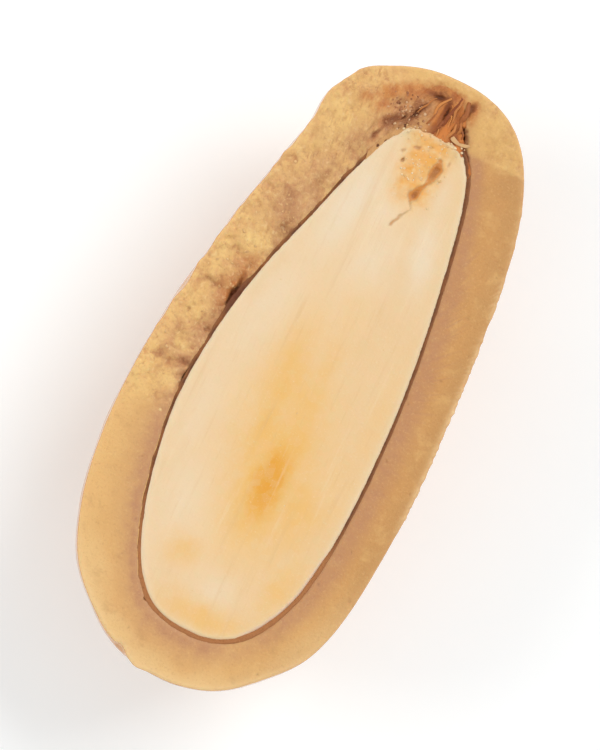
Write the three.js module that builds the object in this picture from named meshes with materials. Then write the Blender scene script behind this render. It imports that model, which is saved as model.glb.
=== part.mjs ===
// One lengthwise half of a coated almond, lying on its rounded back with the
// cut face up: a thick caramel-coloured coating, the thin brown skin of the
// nut and the pale kernel, each cut through the middle.
//
// Millimetres, +Z up. X runs across the cut face, Y along the almond with the
// narrower tip end at +Y. The origin is under the middle of the part, on the
// small flat spot that it rests on, and the cut face is level at z = HEIGHT.

import * as THREE from 'three';

// ---------------------------------------------------------------- dimensions

const HEIGHT = 8.4;              // flat spot to cut face
const FLAT_DEPTH = 0.18;         // how much of the round back the flat spot takes

// The cut face of the whole, from the blunt end to the tip.
const COAT_TIP_Y = 14.38;
const COAT_BLUNT_Y = -14.36;
const COAT_TIP_X = 0.30;         // the two ends lie a little off the middle line
const COAT_BLUNT_X = -0.40;

// The cut face of the kernel.
const KERNEL_TIP_Y = 11.85;
const KERNEL_BLUNT_Y = -12.00;
const KERNEL_TIP_X = 0.30;
const KERNEL_BLUNT_X = 0.00;

// Half widths along the length, one for each side, as
//   (1 - t)^tip (1 + t)^blunt (w0 + w1 t + w2 t^2 + ...),  t = -1 blunt, 1 tip.
// tip and blunt say how full each end is, w0 is the half width half way along
// and the other terms taper it.
const COAT_RIGHT = { tip: 0.41, blunt: 0.52, w: [6.19, -1.45, 2.37, -0.25] };
const COAT_LEFT = { tip: 0.43, blunt: 0.50, w: [6.87, -2.20, 0.60, 0.80, 1.70] };
const KERNEL_RIGHT = { tip: 0.285, blunt: 0.517, w: [3.80, -1.54, 0.43, -0.67, 0.97] };
const KERNEL_LEFT = { tip: 0.26, blunt: 0.346, w: [4.83, -1.79, -1.63, 0.23, 0.82] };

// Depths below the cut face, before the flat spot.
const COAT_DEPTH = HEIGHT + FLAT_DEPTH;
const KERNEL_DEPTH = 6.15;

const SKIN = 0.24;               // thickness of the nut's brown skin
const GAP = 0.06;                // clearance between one layer and the next

// The lowest point of the round back, under the part's weight.
const POLE_X = 0.22;
const POLE_Y = -1.45;

// The skin is torn up and bunched at the tip, in a pocket of the coating.
const TEAR_X = 0.25;
const TEAR_HALF_WIDTH = 1.95;
const TEAR_LENGTH = 1.75;
const TEAR_DEPTH = 3.6;          // how far below the cut face it fades out

// A flake is missing from the coating's cut edge beside the blunt end.
const CHIP_ANGLE = -107;         // degrees round the face, from +X
const CHIP_SPREAD = 8;
const CHIP_DEPTH = 0.22;

// Slow unevenness of the coating's outside.
const LUMP = 0.11;

// Fullness of the round back: 2 is an ellipse, more is fuller.
const COAT_FULL_ACROSS = 2.3;
const COAT_FULL_DOWN = 2.1;
const KERNEL_FULL_ACROSS = 2.2;
const KERNEL_FULL_DOWN = 2.0;

const AROUND = 62;               // facets round each layer
const COAT_RINGS = 13;           // facet rows down the outside
const INNER_RINGS = 11;          // facet rows down each inner layer

// ------------------------------------------------------------------ outlines

function halfWidth(side, t) {
  let taper = 0;
  for (let k = side.w.length - 1; k >= 0; k--) taper = taper * t + side.w[k];
  return Math.pow(Math.max(0, 1 - t), side.tip)
    * Math.pow(Math.max(0, 1 + t), side.blunt) * taper;
}

// The closed outline of a cut face, from the tip down the right side and back
// up the left side, finely stepped.
function fineOutline(right, left, tipX, tipY, bluntX, bluntY) {
  const steps = 600;
  const points = [];
  for (let i = 0; i < 2 * steps; i++) {
    const onRight = i < steps;
    const a = (onRight ? i : 2 * steps - i) / steps * Math.PI;
    const t = Math.cos(a);
    const mix = (t + 1) / 2;
    const middle = bluntX + (tipX - bluntX) * mix;
    const width = halfWidth(onRight ? right : left, t);
    points.push([middle + (onRight ? width : -width), bluntY + (tipY - bluntY) * mix]);
  }
  return points;
}

// AROUND points on a fine outline. They are even along it, and nearer each
// other at the tip, where the outline turns most.
function spaced(points) {
  const reach = [0];
  for (let i = 1; i <= points.length; i++) {
    const a = points[i - 1];
    const b = points[i % points.length];
    const nearTip = Math.exp(-Math.pow((b[1] - KERNEL_TIP_Y) / 2.2, 2));
    reach.push(reach[i - 1] + Math.hypot(b[0] - a[0], b[1] - a[1]) * (1 + 0.9 * nearTip));
  }
  const total = reach[points.length];
  const result = [];
  let k = 0;
  for (let i = 0; i < AROUND; i++) {
    const want = total * i / AROUND;
    while (reach[k + 1] < want) k++;
    const f = (want - reach[k]) / (reach[k + 1] - reach[k]);
    const a = points[k];
    const b = points[(k + 1) % points.length];
    result.push([a[0] + (b[0] - a[0]) * f, a[1] + (b[1] - a[1]) * f]);
  }
  return result;
}

// The same outline moved outwards by a distance.
function grown(points, distance) {
  return points.map((p, i) => {
    const a = points[(i + points.length - 1) % points.length];
    const b = points[(i + 1) % points.length];
    const tx = b[0] - a[0];
    const ty = b[1] - a[1];
    const length = Math.hypot(tx, ty);
    return [p[0] - ty / length * distance, p[1] + tx / length * distance];
  });
}

// The tip of an outline drawn out into the torn skin's pocket.
function torn(points) {
  return points.map(([x, y]) => {
    const across = Math.abs(x - TEAR_X) / TEAR_HALF_WIDTH;
    if (y < KERNEL_TIP_Y - 1.6 || across >= 1) return [x, y];
    const lift = 1 - Math.pow(across, 2.6);
    const near = Math.min(1, (y - (KERNEL_TIP_Y - 1.6)) / 1.2);
    return [x * (1 - 0.10 * lift), y + TEAR_LENGTH * lift * near];
  });
}

function chipped(points) {
  return points.map(([x, y]) => {
    const angle = Math.atan2(y, x) * 180 / Math.PI;
    const off = (angle - CHIP_ANGLE) / CHIP_SPREAD;
    const take = CHIP_DEPTH * Math.exp(-off * off);
    const r = Math.hypot(x, y);
    return [x * (1 - take / r), y * (1 - take / r)];
  });
}

// -------------------------------------------------------------------- bowls

// A round back below the cut face: rows of points from the pole at its
// bottom out to the rim. rim(i, down) is the outline's point at a row whose
// depth below the cut face is down.
function bowl({ rim, pole, depth, rings, across, downwards, floor, lump }) {
  const rows = [];
  const flatAt = floor === null
    ? 0 : Math.acos(Math.pow(floor / depth, downwards / 2));
  if (floor !== null) rows.push(ring(flatAt, floor));
  for (let j = 1; j <= rings; j++) {
    const a = flatAt + (Math.PI / 2 - flatAt) * j / rings;
    rows.push(ring(a, j === rings ? 0 : depth * Math.pow(Math.cos(a), 2 / downwards)));
  }
  function ring(a, down) {
    const out = Math.pow(Math.sin(a), 2 / across);
    const row = [];
    for (let i = 0; i < AROUND; i++) {
      const [x, y] = rim(i, down);
      const angle = 2 * Math.PI * i / AROUND;
      const wave = lump * Math.sin(2 * a) * Math.sin(2 * a)
        * (0.6 * Math.sin(2 * angle + 4.5 * a + 0.7) + 0.5 * Math.sin(3 * angle - 3.1 * a + 2.2)
          + 0.35 * Math.sin(5 * angle + 6.0 * a + 4.0));
      const dx = x - pole[0];
      const dy = y - pole[1];
      const r = Math.hypot(dx, dy);
      const s = out * (1 + wave / r);
      row.push([pole[0] + dx * s, pole[1] + dy * s, HEIGHT - down]);
    }
    return row;
  }
  const bottom = [pole[0], pole[1], HEIGHT - (floor === null ? depth : floor)];
  return { bottom, rows };
}

// One closed body from an outer bowl and, for a shell, an inner one. Without
// an inner bowl the cut face is closed across.
function body(outer, inner) {
  const points = [];
  const faces = [];
  const add = (p) => points.push(p) - 1;
  const addBowl = (b, outward) => {
    const bottom = add(b.bottom);
    const ids = b.rows.map((row) => row.map(add));
    const face = (p, q, r) => faces.push(outward ? [p, q, r] : [p, r, q]);
    for (let i = 0; i < AROUND; i++) {
      const n = (i + 1) % AROUND;
      face(bottom, ids[0][i], ids[0][n]);
      for (let j = 1; j < ids.length; j++) {
        face(ids[j - 1][i], ids[j][i], ids[j][n]);
        face(ids[j - 1][i], ids[j][n], ids[j - 1][n]);
      }
    }
    return ids[ids.length - 1];
  };
  const outerRim = addBowl(outer, true);
  if (inner) {
    const innerRim = addBowl(inner, false);
    for (let i = 0; i < AROUND; i++) {
      const n = (i + 1) % AROUND;
      faces.push([outerRim[i], innerRim[i], innerRim[n]]);
      faces.push([outerRim[i], innerRim[n], outerRim[n]]);
    }
  } else {
    const middle = add([outer.bottom[0], outer.bottom[1], HEIGHT]);
    for (let i = 0; i < AROUND; i++) {
      faces.push([middle, outerRim[(i + 1) % AROUND], outerRim[i]]);
    }
  }
  const position = new Float32Array(points.length * 3);
  points.forEach((p, i) => position.set(p, 3 * i));
  const geometry = new THREE.BufferGeometry();
  geometry.setAttribute('position', new THREE.BufferAttribute(position, 3));
  geometry.setIndex(faces.flat());
  geometry.computeVertexNormals();
  return geometry;
}

// ------------------------------------------------------------------- layers

const coatFine = fineOutline(COAT_RIGHT, COAT_LEFT, COAT_TIP_X, COAT_TIP_Y, COAT_BLUNT_X, COAT_BLUNT_Y);
const kernelFine = fineOutline(KERNEL_RIGHT, KERNEL_LEFT, KERNEL_TIP_X, KERNEL_TIP_Y, KERNEL_BLUNT_X, KERNEL_BLUNT_Y);

// The whole is moved so that its widest points lie evenly about the origin.
const coatXs = coatFine.map((p) => p[0]);
const moveX = -(Math.min(...coatXs) + Math.max(...coatXs)) / 2;

const shift = (points) => points.map(([x, y]) => [x + moveX, y]);
const pole = [POLE_X, POLE_Y];

const coatRim = shift(spaced(coatFine));
const coatCutRim = shift(chipped(spaced(coatFine)));
const kernelRim = spaced(kernelFine);
const skinInnerRim = grown(kernelRim, GAP);
const skinOuterRim = grown(kernelRim, GAP + SKIN);
const skinTornRim = torn(skinOuterRim);
const pocketRim = grown(skinOuterRim, GAP);
const pocketTornRim = grown(skinTornRim, GAP);

// A rim that changes from one outline at the cut face to another below it.
const fading = (atCut, below, fade) => (i, down) => {
  const f = Math.max(0, 1 - down / fade);
  const g = f * f * (3 - 2 * f);
  return [
    below[i][0] + (atCut[i][0] - below[i][0]) * g,
    below[i][1] + (atCut[i][1] - below[i][1]) * g,
  ];
};

const back = (rim, growth) => bowl({
  rim, pole, depth: KERNEL_DEPTH + growth, rings: INNER_RINGS,
  across: KERNEL_FULL_ACROSS, downwards: KERNEL_FULL_DOWN, floor: null, lump: 0,
});

const coatOutside = bowl({
  rim: fading(coatCutRim, coatRim, 0.9), pole, depth: COAT_DEPTH, rings: COAT_RINGS,
  across: COAT_FULL_ACROSS, downwards: COAT_FULL_DOWN, floor: HEIGHT, lump: LUMP,
});
const coatInside = back(fading(shift(pocketTornRim), shift(pocketRim), TEAR_DEPTH), 2 * GAP + SKIN);
const skinOutside = back(fading(shift(skinTornRim), shift(skinOuterRim), TEAR_DEPTH), GAP + SKIN);
const skinInside = back(fading(shift(skinInnerRim), shift(skinInnerRim), TEAR_DEPTH), GAP);
const kernelBack = back(fading(shift(kernelRim), shift(kernelRim), TEAR_DEPTH), 0);

const piece = (name, geometry, color, roughness) => {
  const mesh = new THREE.Mesh(geometry, new THREE.MeshStandardMaterial({
    color: new THREE.Color(color), roughness, metalness: 0,
  }));
  mesh.name = name;
  return mesh;
};

const almond = new THREE.Group();
almond.add(piece('coating', body(coatOutside, coatInside), '#cf9554', 0.35));
almond.add(piece('almond_skin', body(skinOutside, skinInside), '#7d4c2c', 0.75));
almond.add(piece('almond_kernel', body(kernelBack, null), '#f0d3a8', 0.55));

export default almond;
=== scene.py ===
import math

import bpy
import numpy as np
from mathutils import Matrix, Vector
from mathutils.kdtree import KDTree


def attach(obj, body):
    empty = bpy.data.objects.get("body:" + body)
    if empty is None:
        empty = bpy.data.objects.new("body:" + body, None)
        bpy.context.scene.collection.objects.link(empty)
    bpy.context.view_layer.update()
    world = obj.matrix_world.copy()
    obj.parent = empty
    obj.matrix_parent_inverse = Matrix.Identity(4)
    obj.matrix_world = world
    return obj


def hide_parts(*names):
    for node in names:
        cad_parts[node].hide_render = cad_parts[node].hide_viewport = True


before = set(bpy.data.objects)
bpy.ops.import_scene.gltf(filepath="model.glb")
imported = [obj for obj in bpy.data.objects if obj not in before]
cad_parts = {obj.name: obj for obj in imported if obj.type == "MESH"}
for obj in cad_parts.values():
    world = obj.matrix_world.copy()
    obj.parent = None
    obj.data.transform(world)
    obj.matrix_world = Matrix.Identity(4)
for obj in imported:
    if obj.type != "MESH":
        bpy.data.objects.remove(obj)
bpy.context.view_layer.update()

# Lengths below are in millimetres until a mesh is made.
MM = 0.001
TAU = 2 * math.pi

# ------------------------------------------------------------ the part's sizes

HEIGHT = 8.4
FLAT_DEPTH = 0.18
COAT_DEPTH = HEIGHT + FLAT_DEPTH
KERNEL_DEPTH = 6.15
SKIN = 0.24
POLE = np.array([0.22, -1.45])

COAT_ENDS = (0.30, 14.38, -0.40, -14.36)       # tip x, tip y, blunt x, blunt y
KERNEL_ENDS = (0.30, 11.85, 0.00, -12.00)
COAT_RIGHT = (0.41, 0.52, (6.19, -1.45, 2.37, -0.25))
COAT_LEFT = (0.43, 0.50, (6.87, -2.20, 0.60, 0.80, 1.70))
KERNEL_RIGHT = (0.285, 0.517, (3.80, -1.54, 0.43, -0.67, 0.97))
KERNEL_LEFT = (0.26, 0.346, (4.83, -1.79, -1.63, 0.23, 0.82))

# ---------------------------------------------------------------------- noise


def _hash(i, j, k, seed):
    h = i.astype(np.uint32) * np.uint32(0x9E3779B1)
    h ^= j.astype(np.uint32) * np.uint32(0x85EBCA77)
    h ^= k.astype(np.uint32) * np.uint32(0xC2B2AE3D)
    h ^= np.uint32((seed * 0x27D4EB2F + 0x165667B1) & 0xFFFFFFFF)
    h ^= h >> np.uint32(15)
    h = h * np.uint32(0x2C1B3C6D)
    h ^= h >> np.uint32(12)
    h = h * np.uint32(0x297A2D39)
    h ^= h >> np.uint32(15)
    return h


def points3(x, y, z=None):
    x = np.asarray(x, float)
    y = np.asarray(y, float)
    z = np.zeros_like(x) if z is None else np.asarray(z, float) + np.zeros_like(x)
    return np.stack([x, y, z], -1)


def perlin(p, seed):
    """Smooth noise from about -1 to 1, with features about 1 apart."""
    cell = np.floor(p)
    f = p - cell
    cell = cell.astype(np.int64)
    w = f * f * f * (f * (f * 6 - 15) + 10)
    total = np.zeros(p.shape[:-1])
    for a in (0, 1):
        for b in (0, 1):
            for c in (0, 1):
                h = _hash(cell[..., 0] + a, cell[..., 1] + b, cell[..., 2] + c, seed)
                gx = (h & np.uint32(1023)) / 511.5 - 1
                gy = ((h >> np.uint32(10)) & np.uint32(1023)) / 511.5 - 1
                gz = ((h >> np.uint32(20)) & np.uint32(1023)) / 511.5 - 1
                dot = gx * (f[..., 0] - a) + gy * (f[..., 1] - b) + gz * (f[..., 2] - c)
                wx = w[..., 0] if a else 1 - w[..., 0]
                wy = w[..., 1] if b else 1 - w[..., 1]
                wz = w[..., 2] if c else 1 - w[..., 2]
                total += dot * wx * wy * wz
    return total * 1.2


def fbm(p, seed, octaves=4, gain=0.5):
    total = 0
    size = 1.0
    norm = 0
    for k in range(octaves):
        total = total + size * perlin(p * 2.03 ** k + 17.3 * k, seed + k)
        norm += size
        size *= gain
    return total / norm


def worley(p, seed):
    """Distance to the nearest and the next nearest scattered point, a number from 0 to 1 of the nearest one's own, and the way to it."""
    cell = np.floor(p).astype(np.int64)
    best = np.full(p.shape[:-1], 9.0)
    second = best.copy()
    own = np.zeros(p.shape[:-1])
    way = np.zeros(p.shape)
    flat = np.ptp(p[..., 2]) == 0
    for a in (-1, 0, 1):
        for b in (-1, 0, 1):
            for c in (0,) if flat else (-1, 0, 1):
                ci, cj, ck = cell[..., 0] + a, cell[..., 1] + b, cell[..., 2] + c
                h = _hash(ci, cj, ck, seed)
                px = ci + (h & np.uint32(1023)) / 1023.0
                py = cj + ((h >> np.uint32(10)) & np.uint32(1023)) / 1023.0
                pz = p[..., 2] if flat else ck + ((h >> np.uint32(20)) & np.uint32(1023)) / 1023.0
                v = np.stack([px, py, pz], -1) - p
                d = np.sqrt((v ** 2).sum(-1))
                near = d < best
                second = np.where(near, best, np.minimum(second, d))
                own = np.where(near, _hash(ci, cj, ck, seed + 77) / 4294967295.0, own)
                way = np.where(near[..., None], v, way)
                best = np.where(near, d, best)
    return best, second, own, way


def step(x, lo, hi):
    t = np.clip((x - lo) / (hi - lo), 0, 1)
    return t * t * (3 - 2 * t)


def bell(x, y, cx, cy, rx, ry, turn=0.0):
    c, s = math.cos(math.radians(turn)), math.sin(math.radians(turn))
    dx, dy = x - cx, y - cy
    return np.exp(-(((dx * c + dy * s) / rx) ** 2 + ((-dx * s + dy * c) / ry) ** 2))


# ------------------------------------------------------------------- outlines


def fine_outline(right, left, ends, steps=1500):
    def half(side, t):
        tip, blunt, w = side
        taper = sum(wk * t ** k for k, wk in enumerate(w))
        return np.clip(1 - t, 0, None) ** tip * np.clip(1 + t, 0, None) ** blunt * taper

    a = np.linspace(0, math.pi, steps)
    t = np.cos(a)
    mix = (t + 1) / 2
    middle = ends[2] + (ends[0] - ends[2]) * mix
    y = ends[3] + (ends[1] - ends[3]) * mix
    r = np.stack([middle + half(right, t), y], -1)
    l = np.stack([middle - half(left, t), y], -1)[::-1]
    return np.concatenate([r[:-1], l[:-1]])


def grown(points, distance):
    a, b = np.roll(points, 1, 0), np.roll(points, -1, 0)
    t = b - a
    t /= np.linalg.norm(t, axis=1)[:, None] + 1e-12
    n = np.stack([-t[:, 1], t[:, 0]], -1)
    d = np.broadcast_to(distance, len(points))[:, None]
    return points + n * d


coat_line = fine_outline(COAT_RIGHT, COAT_LEFT, COAT_ENDS)
MOVE = -(coat_line[:, 0].min() + coat_line[:, 0].max()) / 2
kernel_line = fine_outline(KERNEL_RIGHT, KERNEL_LEFT, KERNEL_ENDS)

SCALE_X, SCALE_Y = 6.7, 14.4


class Star:
    """A closed outline seen from the pole, by the angle phi of a ray in stretched axes."""

    def __init__(self, points):
        self.points = points
        phi = np.arctan2((points[:, 1] - POLE[1]) / SCALE_Y, (points[:, 0] - POLE[0]) / SCALE_X)
        order = np.argsort(phi)
        self.phi, self.x, self.y = phi[order], points[order, 0], points[order, 1]

    def at(self, phi):
        return np.stack([
            np.interp(phi, self.phi, self.x, period=TAU),
            np.interp(phi, self.phi, self.y, period=TAU)], -1)


def angle_of(x, y):
    return np.arctan2((y - POLE[1]) / SCALE_Y, (x - POLE[0]) / SCALE_X)


def moved(points):
    return points + np.array([MOVE, 0])


# The coating's outer edge: a small wobble, more on the broken left side, an
# uneven burr on the right edge, and a nick beside the blunt end.
def slow_shift(v, u):
    p = points3(v, u)
    d = 0.030 * fbm(p / 2.4, 3, 2)
    d = d + 0.42 * bell(v, u, -4.5, 11.6, 1.0, 1.0) + 0.30 * bell(v, u, -3.4, 12.9, 1.1, 0.9)
    d = d + 0.08 * bell(v, u, -5.9, 5.4, 1.0, 1.8) - 0.16 * bell(v, u, -4.4, -12.6, 1.6, 1.3)
    d = d - 0.16 * bell(v, u, 3.6, -12.6, 1.5, 1.6) - 0.11 * bell(v, u, 6.0, -6.5, 1.4, 3.0)
    return d


def burr_mask(v, u):
    here = step(u, -5.0, -3.4) * (1 - step(u, 4.2, 5.2)) + 0.8 * step(u, 5.3, 5.8) * (1 - step(u, 7.0, 7.8))
    here = here + 0.35 * step(u, 7.6, 8.4) * (1 - step(u, 10.5, 12.0))
    return step(v, 2.4, 3.8) * here


def coat_edge_shift(v, u):
    left = step(-v, 0.5, 3.0)
    rough = left * step(u, -3.5, -0.5) * (1 - step(u, 12.5, 14))
    p = points3(v, u)
    d = slow_shift(v, u) + 0.012 * fbm(p / 0.5, 4, 3)
    d = d + rough * (0.095 * fbm(p / 1.1, 5, 4) + 0.06 * np.clip(perlin(p / 0.5, 8), 0, 1))
    uneven = np.clip(fbm(points3(v * 0.3, u / 0.30), 9, 3) + 0.12, -0.25, 1)
    d = d + burr_mask(v, u) * (0.12 * uneven + 0.03)
    d = d + 0.09 * bell(v, u, -6.65, 2.5, 0.5, 0.22) + 0.08 * bell(v, u, -5.35, 8.3, 0.5, 0.2)
    d = d - 0.08 * bell(v, u, -6.6, 1.3, 0.6, 0.5) + 0.05 * bell(v, u, -6.3, 3.9, 0.5, 0.4)
    low = step(-u, 12, 13)
    d = d + low * (-0.04 * step(v, -4.8, -3.6) * (1 - step(v, -3.2, -2.9)) - 0.20 * np.exp(-((v + 2.62) / 0.36) ** 2) + 0.11 * np.exp(-((v + 1.62) / 0.40) ** 2))
    return d


# The kernel's and the skin's edges.
def kernel_edge_shift(v, u):
    p = points3(v, u)
    d = 0.014 * fbm(p / 0.8, 21, 4)
    left = step(-v, 0.5, 2.0)
    d = d + left * 0.030 * fbm(p / 0.6, 25, 4) * step(u, -9, -6)
    d = d + step(u, 10.3, 11.3) * (0.13 * fbm(p / 0.55, 26, 4) - 0.04)
    d = d + 0.06 * bell(v, u, -4.8, -3.2, 0.6, 2.0) - 0.06 * bell(v, u, -3.4, 6.4, 1.0, 1.8)
    # A flat facet across the right-hand side of the blunt end.
    d = d - 0.06 * bell(v, u, 2.9, -10.3, 1.2, 1.2)
    return d


fine = grown(coat_line, coat_edge_shift(coat_line[:, 0], coat_line[:, 1]))
coat_outer = Star(moved(fine))
coat_slow = Star(moved(grown(coat_line, slow_shift(coat_line[:, 0], coat_line[:, 1]))))
kernel_fine = grown(kernel_line, kernel_edge_shift(kernel_line[:, 0], kernel_line[:, 1]))
kernel_edge = Star(moved(kernel_fine))


def tear_lift(v, u):
    """How far the skin's edge is drawn out into the torn pocket at the tip."""
    across = np.abs(v - 0.05) / np.where(v < 0.05, 1.85, 1.72)
    lift = np.clip(1 - across ** 2.4, 0, None)
    near = step(u, 10.4, 11.6)
    return 2.0 * lift * near * (1 + 0.10 * perlin(points3(v * 2.2, u * 0.1), 31))


# The skin's width varies: thin and even on the right, broken on the left and
# soft and wider round the blunt end.
def skin_width(v, u):
    p = points3(v, u)
    base = 0.135 + 0.035 * fbm(p / 0.9, 33, 3)
    left = step(-v, 0.5, 2.0)
    base = base + left * (0.02 + 0.10 * np.clip(fbm(p / 0.8, 35, 4), -0.4, 1))
    base = base + left * 0.10 * bell(v, u, -4.6, 1.9, 0.8, 0.9)
    base = base + 0.07 * step(-u, 9.0, 11.8)
    base = base + 0.03 * step(u, 4, 9) * step(v, 1, 2)
    return np.clip(base, 0.075, 0.40)


def skin_lines():
    width = skin_width(kernel_line[:, 0], kernel_line[:, 1])
    # The inner edge lies just under the kernel's, and the outer one just under
    # the coating's, so that no slit shows between the layers.
    inner = grown(kernel_fine, -0.05)
    outer = grown(kernel_fine, width)
    lift = tear_lift(kernel_line[:, 0], kernel_line[:, 1])
    outer = outer + np.stack([-0.10 * (outer[:, 0] - 0.3) * (lift > 0) * lift / 2, lift], -1)
    return inner, outer


skin_inner_fine, skin_outer_fine = skin_lines()
skin_inner = Star(moved(skin_inner_fine))
skin_outer = Star(moved(skin_outer_fine))
coat_inner = Star(moved(grown(skin_outer_fine, -0.03)))

# ------------------------------------------------------ reliefs of the cut face


def coat_place(x, y):
    """For points of the coating's cut face: f from 0 at its outer edge to 1 at its inner one, and the distances from those edges."""
    phi = angle_of(x, y)
    o, i = coat_outer.at(phi), coat_inner.at(phi)
    ro = np.hypot(*(o - POLE).T).reshape(np.shape(x))
    ri = np.hypot(*(i - POLE).T).reshape(np.shape(x))
    r = np.hypot(x - POLE[0], y - POLE[1])
    e = 1e-3
    t = (coat_outer.at(phi + e) - coat_outer.at(phi - e))
    t = t / np.linalg.norm(t, axis=-1)[..., None]
    ray = (o - POLE) / np.linalg.norm(o - POLE, axis=-1)[..., None]
    slant = np.abs(ray[..., 0] * t[..., 1] - ray[..., 1] * t[..., 0])
    f = (ro - r) / (ro - ri)
    return f, (ro - r) * slant, (r - ri) * slant


# Gaps and pits in the coating's cut face: where, how large, how deep, how turned.
PITS = (
    (-4.60, 2.00, 0.13, 0.58, 0.30, -8), (-4.52, 3.30, 0.08, 0.22, 0.08, -14),
    (-4.98, 0.02, 0.16, 0.09, 0.10, 0), (-5.20, -1.62, 0.28, 0.10, 0.10, -25),
    (-4.96, -2.20, 0.06, 0.34, 0.16, 0), (-3.84, 5.42, 0.24, 0.14, 0.08, -20),
    (-5.70, 2.02, 0.30, 0.06, 0.06, -6),
    (-3.92, -8.90, 0.06, 0.20, 0.14, 25), (-3.52, -9.80, 0.07, 0.16, 0.14, 30),
    (-2.42, -11.52, 0.14, 0.07, 0.08, 0),
)

# Soft patches of the broken coating: where, how large, how turned, how strong.
MAUVE = (
    (-4.05, 6.60, 0.95, 1.50, -16, 1.00), (-3.55, 8.40, 0.70, 1.10, -18, 0.70), (-2.75, 10.10, 0.50, 1.10, -20, 0.70),
    (-4.95, 1.30, 0.60, 1.60, -6, 0.60), (-5.20, -0.30, 0.55, 0.90, 0, 0.75), (-5.35, -1.70, 0.60, 0.70, 0, 0.80),
    (-5.20, -3.60, 0.40, 1.20, 0, 0.60), (-4.75, 5.50, 0.60, 0.50, 0, 0.60), (-6.25, -1.40, 0.45, 0.60, 0, 0.60),
    (-6.20, -0.20, 0.40, 0.40, 0, 0.50), (-3.90, 9.60, 0.50, 0.50, 0, 0.45), (-5.00, 7.30, 0.45, 0.45, 0, 0.50),
)
BROWN = (
    (-3.75, 5.50, 0.42, 0.50, 0, 1.00), (-4.15, 6.75, 0.40, 0.40, -15, 0.60), (-4.60, 6.10, 0.26, 0.26, 0, 0.60),
    (-4.80, 1.30, 0.26, 1.10, -6, 0.90), (-5.60, 2.00, 0.55, 0.20, -4, 0.80), (-6.05, -0.45, 0.26, 0.22, 0, 0.70),
    (-5.40, -1.70, 0.55, 0.26, 0, 0.90), (-6.25, -1.65, 0.26, 0.20, 0, 0.75), (-4.92, 0.10, 0.26, 0.26, 0, 0.70),
    (-3.20, 8.30, 0.26, 0.60, -18, 0.70), (-2.50, 9.90, 0.22, 0.70, -22, 0.60), (-4.96, -2.60, 0.22, 0.90, 0, 0.80),
)
RUST = (
    (-4.50, 3.30, 0.42, 0.60, -10, 0.75), (-4.75, 2.10, 0.56, 0.90, -6, 1.00), (-4.62, 2.60, 0.34, 0.60, -8, 1.00),
)
CREAM = (
    (-4.85, 4.30, 0.75, 0.55, 0, 1.00), (-5.85, 3.45, 0.40, 0.70, 0, 0.80),
    (-6.15, 0.80, 0.40, 0.60, 0, 0.60), (-5.50, 8.30, 0.34, 0.80, -14, 0.35),
    (-5.50, 5.15, 0.50, 0.50, 0, 0.45), (-6.75, -2.90, 0.35, 0.90, 0, 0.60),
    (-5.70, -2.75, 0.35, 0.34, 0, 0.70), (-4.85, 9.60, 0.34, 0.80, -14, 0.70), (-5.70, 6.40, 0.30, 0.50, 0, 0.15),
    (-4.10, 11.10, 0.50, 0.80, -25, 0.70), (-5.55, 0.75, 0.25, 0.30, 0, 0.60), (-6.60, -0.60, 0.26, 0.60, 0, 0.50),
    (-5.60, -1.05, 0.30, 0.26, 0, 0.60), (-3.70, 10.30, 0.45, 1.00, -22, 0.60),
)


def patches(v, u, table, seed):
    p = points3(v, u)
    wv = v + 0.34 * fbm(p / 0.75, seed, 4, 0.6)
    wu = u + 0.34 * fbm(p / 0.75, seed + 5, 4, 0.6)
    total = np.zeros_like(v)
    for cx, cy, rx, ry, turn, strong in table:
        total = np.maximum(total, strong * bell(wv, wu, cx, cy, rx, ry, turn))
    return total


# The tip: an orange-brown band where the skin's stain ran into the coating,
# crumbs of skin below it, and dark streaks between.
TIP_RUST = (
    (-3.00, 12.10, 0.52, 0.34, 45, 0.62), (-2.15, 12.70, 0.72, 0.36, 30, 0.88), (-1.25, 13.12, 0.75, 0.42, 22, 1.00),
    (-0.35, 13.45, 0.80, 0.40, 15, 1.00), (0.45, 13.62, 0.60, 0.36, 0, 1.00), (1.35, 13.35, 0.35, 0.60, 0, 0.80),
    (-2.30, 12.00, 0.60, 0.40, 30, 0.60),
)
TIP_CRUMB = (
    (-1.25, 12.10, 0.62, 0.60, 0, 1.00), (-0.70, 12.62, 0.50, 0.46, 0, 0.90), (-1.72, 11.45, 0.42, 0.60, -30, 0.85),
    (-1.95, 10.70, 0.25, 0.60, -22, 0.55),
)
TIP_DARK = (
    (-0.80, 12.30, 0.20, 0.95, -25, 0.85), (-0.15, 13.40, 0.55, 0.24, 10, 1.00), (0.32, 13.25, 0.16, 0.50, -6, 0.80),
    (-1.62, 11.60, 0.20, 0.55, -30, 0.90), (-1.98, 10.85, 0.14, 0.50, -24, 0.75), (-1.50, 12.62, 0.30, 0.12, 20, 0.60), (1.30, 13.45, 0.15, 0.36, -16, 1.00),
    (1.42, 12.50, 0.20, 0.20, 0, 0.90), (1.66, 12.15, 0.14, 0.36, 34, 0.95), (1.95, 11.55, 0.16, 0.50, 26, 0.95),
    (2.14, 10.95, 0.15, 0.55, 20, 0.90),
)


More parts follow.
